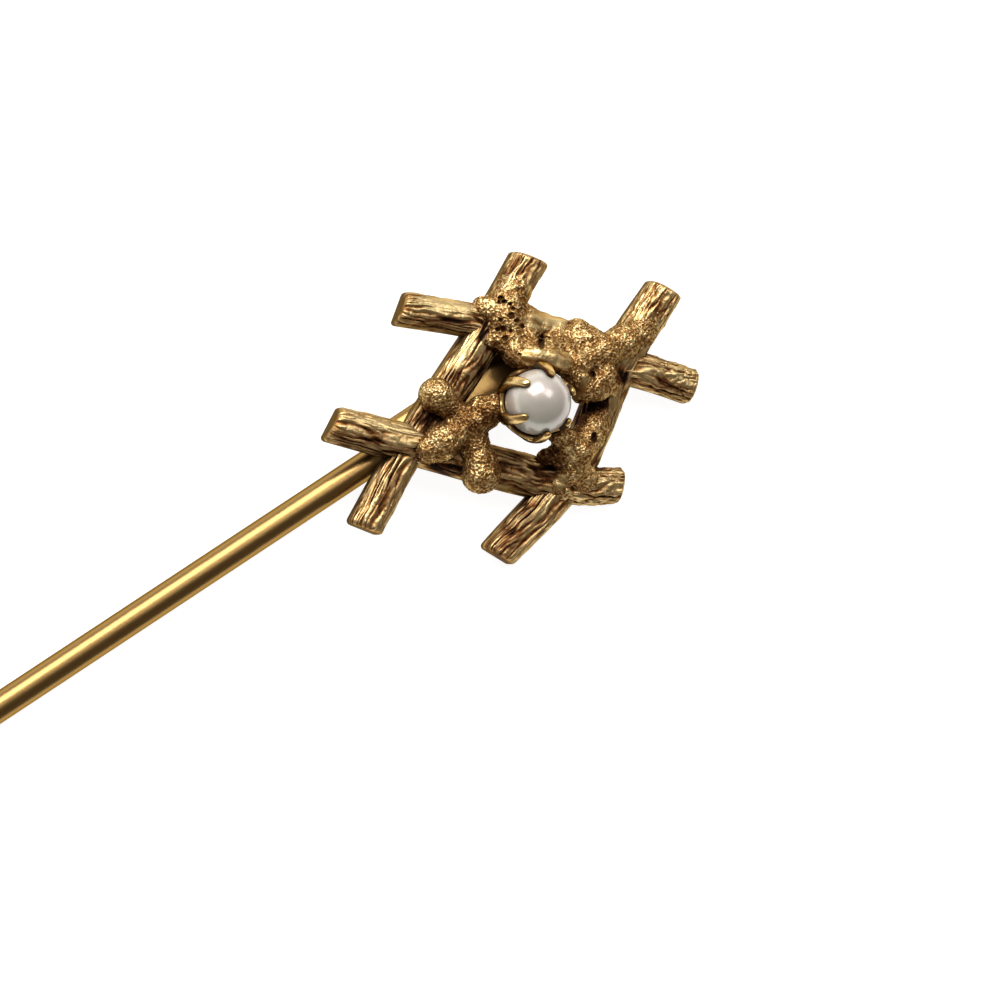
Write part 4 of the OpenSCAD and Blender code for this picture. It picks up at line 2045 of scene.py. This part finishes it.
LOWER_RIGHT_ARMS = (
    (Ball(3.30, -0.40, 0.40, 0.50), Ball(3.00, -1.00, 0.72, 0.58), Ball(2.75, -1.45, 0.92, 0.62)),
    (Ball(2.75, -1.45, 0.92, 0.62), Ball(2.30, -1.95, 1.05, 0.70), Ball(2.10, -2.65, 0.78, 0.68)),
    (Ball(2.30, -1.95, 1.05, 0.70), Ball(1.95, -1.60, 1.30, 0.52), Ball(1.60, -1.30, 1.50, 0.42)),
    (Ball(2.30, -1.95, 1.05, 0.70), Ball(1.70, -2.10, 1.00, 0.52), Ball(1.10, -2.20, 0.85, 0.32)),
    (Ball(2.10, -2.65, 0.78, 0.68), Ball(1.70, -3.30, 0.55, 0.60), Ball(1.40, -3.60, 0.42, 0.48)),
    (Ball(2.10, -2.65, 0.78, 0.68), Ball(2.50, -2.98, 0.60, 0.62), Ball(2.82, -3.16, 0.45, 0.54)),
)

LOWER_RIGHT_MARKS = (
    Mark(3.00, -1.46, 0.12, 0.24, 0.20),
    Mark(2.22, -3.38, 0.13, 0.13, 0.14),
    Mark(1.55, -3.15, 0.42, 0.36),
)


def make_knots(cup: ClawCup) -> list[Knot]:
    """The four knots.

    Args:
        cup: The cup that they carry.

    Returns:
        The knots, each with its lobes and marks.
    """
    return [
        Knot(Crossing.UPPER_LEFT, UPPER_LEFT_ARMS, UPPER_LEFT_MARKS, cup, voxel=0.0525),
        Knot(Crossing.UPPER_RIGHT, UPPER_RIGHT_ARMS, UPPER_RIGHT_MARKS, cup),
        Knot(Crossing.LOWER_LEFT, LOWER_LEFT_ARMS, (), cup, covers=0.9),
        Knot(Crossing.LOWER_RIGHT, LOWER_RIGHT_ARMS, LOWER_RIGHT_MARKS, cup, covers=0.7),
    ]


@dataclass(frozen=True)
class Lamp:
    """One soft panel light that faces the head.

    Attributes:
        name: Its name.
        ways: Its direction from the head, to the viewer's right, up and toward.
        size: Its width and height in metres.
        power: Its power in watts.
        tint: Its colour.
        far: Its distance in metres.
    """

    name: str
    ways: tuple[float, float, float]
    size: tuple[float, float]
    power: float
    tint: Colour
    far: float = 0.6


LAMPS = (
    Lamp("window", (-0.10, 0.73, 0.67), (0.50, 0.38), 3.5, (1.0, 0.99, 0.97)),
    Lamp("side", (0.58, 0.50, 0.64), (0.26, 0.26), 0.7, (1.0, 1.0, 1.0)),
    Lamp("left", (-0.85, 0.30, 0.40), (0.60, 0.60), 0.3, (1.0, 0.97, 0.92)),
)

# The room's glow, from straight below the picture to straight above it
ROOM = [
    (0.12, (0.17, 0.155, 0.135)),
    (0.28, (0.12, 0.106, 0.088)),
    (0.50, (0.11, 0.096, 0.08)),
    (0.72, (0.30, 0.29, 0.27)),
    (1.0, (0.50, 0.50, 0.50)),
]


@dataclass(frozen=True)
class Studio:
    """The pale table, the lights and the camera, all set from the viewer's directions on the head.

    Attributes:
        frame_width: Width that the picture takes in at the head, in millimetres.
        aim_right: Middle of the picture, to the right of the middle of the head.
        aim_up: Middle of the picture, up from the middle of the head.
        lens: Focal length in millimetres.
        sensor: Sensor width in millimetres.
        near: Nearest distance that the camera sees, as a share of its distance.
        far: Farthest distance that it sees, in the same way.
        table_half: Half the table's width in metres.
        table_body: Brightness of the table's body.
        table_glow: Brightness of the table's own glow, which keeps it white.
        table_rough: Roughness of the table.
        table_mirror: Strength of the table's mirroring.
        backdrop: Brightness of what the camera sees past the table.
    """

    frame_width: float = 38.46
    aim_right: float = -0.619
    aim_up: float = -3.846
    lens: float = 300.0
    sensor: float = 36.0
    near: float = 0.05
    far: float = 50.0
    table_half: float = 3.0
    table_body: float = 0.35
    table_glow: float = 0.93
    table_rough: float = 0.9
    table_mirror: float = 0.1
    backdrop: float = 0.85

    def axes(self, to_row: Matrix) -> tuple[Vector, Vector, Vector]:
        """The viewer's directions.

        Args:
            to_row: Carries the head's frame to the row frame.

        Returns:
            Right, up and toward the viewer, in the row frame.
        """
        turn = to_row.to_3x3().normalized()
        return turn @ VIEW.right(), turn @ Vector((0, 1, 0)), turn @ VIEW.toward()

    def table(self) -> None:
        """The plain pale table."""
        bm = bmesh.new()
        bmesh.ops.create_grid(bm, x_segments=1, y_segments=1, size=self.table_half)
        mesh = bpy.data.meshes.new("table")
        bm.to_mesh(mesh)
        bm.free()
        material = bpy.data.materials.new("table_white")
        material.use_nodes = True
        shader = material.node_tree.nodes["Principled BSDF"]
        shader.inputs["Base Color"].default_value = (*[self.table_body] * 3, 1.0)
        shader.inputs["Emission Color"].default_value = (1.0, 1.0, 1.0, 1.0)
        shader.inputs["Emission Strength"].default_value = self.table_glow
        shader.inputs["Roughness"].default_value = self.table_rough
        shader.inputs["Specular IOR Level"].default_value = self.table_mirror
        mesh.materials.append(material)
        table = bpy.data.objects.new("table", mesh)
        bpy.context.scene.collection.objects.link(table)

    def camera(self, to_row: Matrix) -> None:
        """The long-lensed camera at the viewer's angle.

        Args:
            to_row: Carries the head's frame to the row frame.
        """
        right, up, toward = self.axes(to_row)
        aim = to_row.translation + (right * self.aim_right + up * self.aim_up) * MM
        away = self.frame_width * self.lens / self.sensor * MM
        data = bpy.data.cameras.new("camera")
        data.lens, data.sensor_width = self.lens, self.sensor
        data.clip_start, data.clip_end = away * self.near, away * self.far
        camera = bpy.data.objects.new("camera", data)
        turn = Matrix((right, up, toward)).transposed().to_4x4()
        camera.matrix_world = Matrix.Translation(aim + toward * away) @ turn
        bpy.context.scene.collection.objects.link(camera)
        bpy.context.scene.camera = camera

    def light(self, lamp: Lamp, to_row: Matrix) -> None:
        """Hangs one lamp.

        Args:
            lamp: The lamp.
            to_row: Carries the head's frame to the row frame.
        """
        right, up, toward = self.axes(to_row)
        way = (right * lamp.ways[0] + up * lamp.ways[1] + toward * lamp.ways[2]).normalized()
        data = bpy.data.lights.new(lamp.name, "AREA")
        data.shape = "RECTANGLE"
        data.size, data.size_y = lamp.size
        data.energy = lamp.power
        data.color = lamp.tint
        panel = bpy.data.objects.new(lamp.name, data)
        turn = way.to_track_quat("Z", "Y").to_matrix().to_4x4()
        panel.matrix_world = Matrix.Translation(to_row.translation + way * lamp.far) @ turn
        bpy.context.scene.collection.objects.link(panel)

    def sky(self, to_row: Matrix) -> None:
        """A room that is bright above the picture and dim below it, and pale where the camera looks.

        Args:
            to_row: Carries the head's frame to the row frame.
        """
        world = bpy.data.worlds.new("studio")
        world.use_nodes = True
        bpy.context.scene.world = world
        bench = NodeBench(world.node_tree)
        bench.tree.nodes.clear()
        out = bench.add("ShaderNodeOutputWorld")
        place = bench.add("ShaderNodeTexCoord")
        along = bench.add("ShaderNodeVectorMath", {"operation": "DOT_PRODUCT"}, {1: self.axes(to_row)[1]})
        bench.join(place.outputs["Generated"], along.inputs[0])
        share = bench.math("ADD", bench.math("MULTIPLY", along.outputs["Value"], 0.5), 0.5)
        glow = bench.add("ShaderNodeBackground")
        bench.join(bench.ramp(share, ROOM), glow.inputs["Color"])
        pale = bench.add("ShaderNodeBackground", None, {"Color": (*[self.backdrop] * 3, 1.0)})
        path, mix = bench.add("ShaderNodeLightPath"), bench.add("ShaderNodeMixShader")
        bench.join(path.outputs["Is Camera Ray"], mix.inputs[0])
        bench.join(glow.outputs[0], mix.inputs[1])
        bench.join(pale.outputs[0], mix.inputs[2])
        bench.join(mix.outputs[0], out.inputs["Surface"])

    def build(self, to_row: Matrix) -> None:
        """Sets the camera, the table, the lights and the sky.

        Args:
            to_row: Carries the head's frame to the row frame.
        """
        self.camera(to_row)
        self.table()
        for lamp in LAMPS:
            self.light(lamp, to_row)
        self.sky(to_row)
        bpy.context.scene.view_settings.view_transform = "Standard"


def main() -> None:
    """Builds the pieces, dresses them and sets the studio."""
    logging.basicConfig(level=logging.INFO, format="%(name)s %(message)s")
    noise.seed_set(SEED)
    to_row = PLACE.matrix()
    group = OldGilding().build()
    bark = GoldFinish(
        "bark_gold",
        soiling=1.2,
        clean=(0.50, 0.295, 0.11),
        warm=(0.30, 0.13, 0.04),
        shine=(0.86, 0.65, 0.32),
        grey=(0.09, 0.066, 0.03),
    ).build(group)
    stipple = GoldFinish(
        "stipple_gold",
        soiling=0.72,
        bump=0.000025,
        clean=(0.70, 0.46, 0.19),
        shine=(0.88, 0.69, 0.36),
        grey=(0.13, 0.09, 0.035),
    ).build(group)
    cup_gold = GoldFinish("cup_gold", soiling=0.9, smooth=0.25, bump=0.00001).build(group)
    polished = GoldFinish(
        "polished_gold",
        soiling=0.8,
        rubbing=0.35,
        smooth=0.28,
        rough=0.4,
        bump=0.000004,
        clean=(0.37, 0.215, 0.072),
        shine=(0.52, 0.37, 0.16),
        grey=(0.12, 0.088, 0.035),
    ).build(group)
    lustre = PearlFinish().build()
    pearl = Pearl()
    cup = ClawCup(pearl)
    pieces = [Piece(twig.name, twig.build(), Slot.METAL, Node.METAL, bark) for twig in TWIGS]
    pieces += [
        Piece(knot.crossing.value, knot.build(), Slot.METAL, Node.METAL, stipple) for knot in make_knots(cup)
    ]
    # The cup's patches paint shade under the claws and highlights on its left wall and at its bottom
    pieces.append(Piece("claw_cup", cup.build(), Slot.METAL, Node.METAL, cup_gold, light_and_wear=CUP_PAINTED_LIGHT))
    # The flattened end lies in the knot's shade: weak darkening by neighbours and its patches of painted
    # highlight keep it light
    pieces.append(
        Piece(
            "stem",
            Stem().build(),
            Slot.METAL,
            Node.METAL,
            polished,
            side_tarnish_and_shade=0.85,
            side_from=0.5,
            shade=0.2,
            light_and_wear=PAD_PAINTED_LIGHT,
        )
    )
    pieces.append(Piece("pearl_ball", pearl.build(), Slot.PEARL, Node.PEARL, lustre))
    crowd = crowd_tree(pieces)
    sky_and_patches = SkyAndPatches(ball_rays(RAYS))
    for piece in pieces:
        if piece.slot is Slot.METAL:
            piece.sky_and_patches(sky_and_patches, crowd)
    for piece in pieces:
        piece.finish(to_row)
    Studio().build(to_row)


if __name__ == "__main__":
    main()
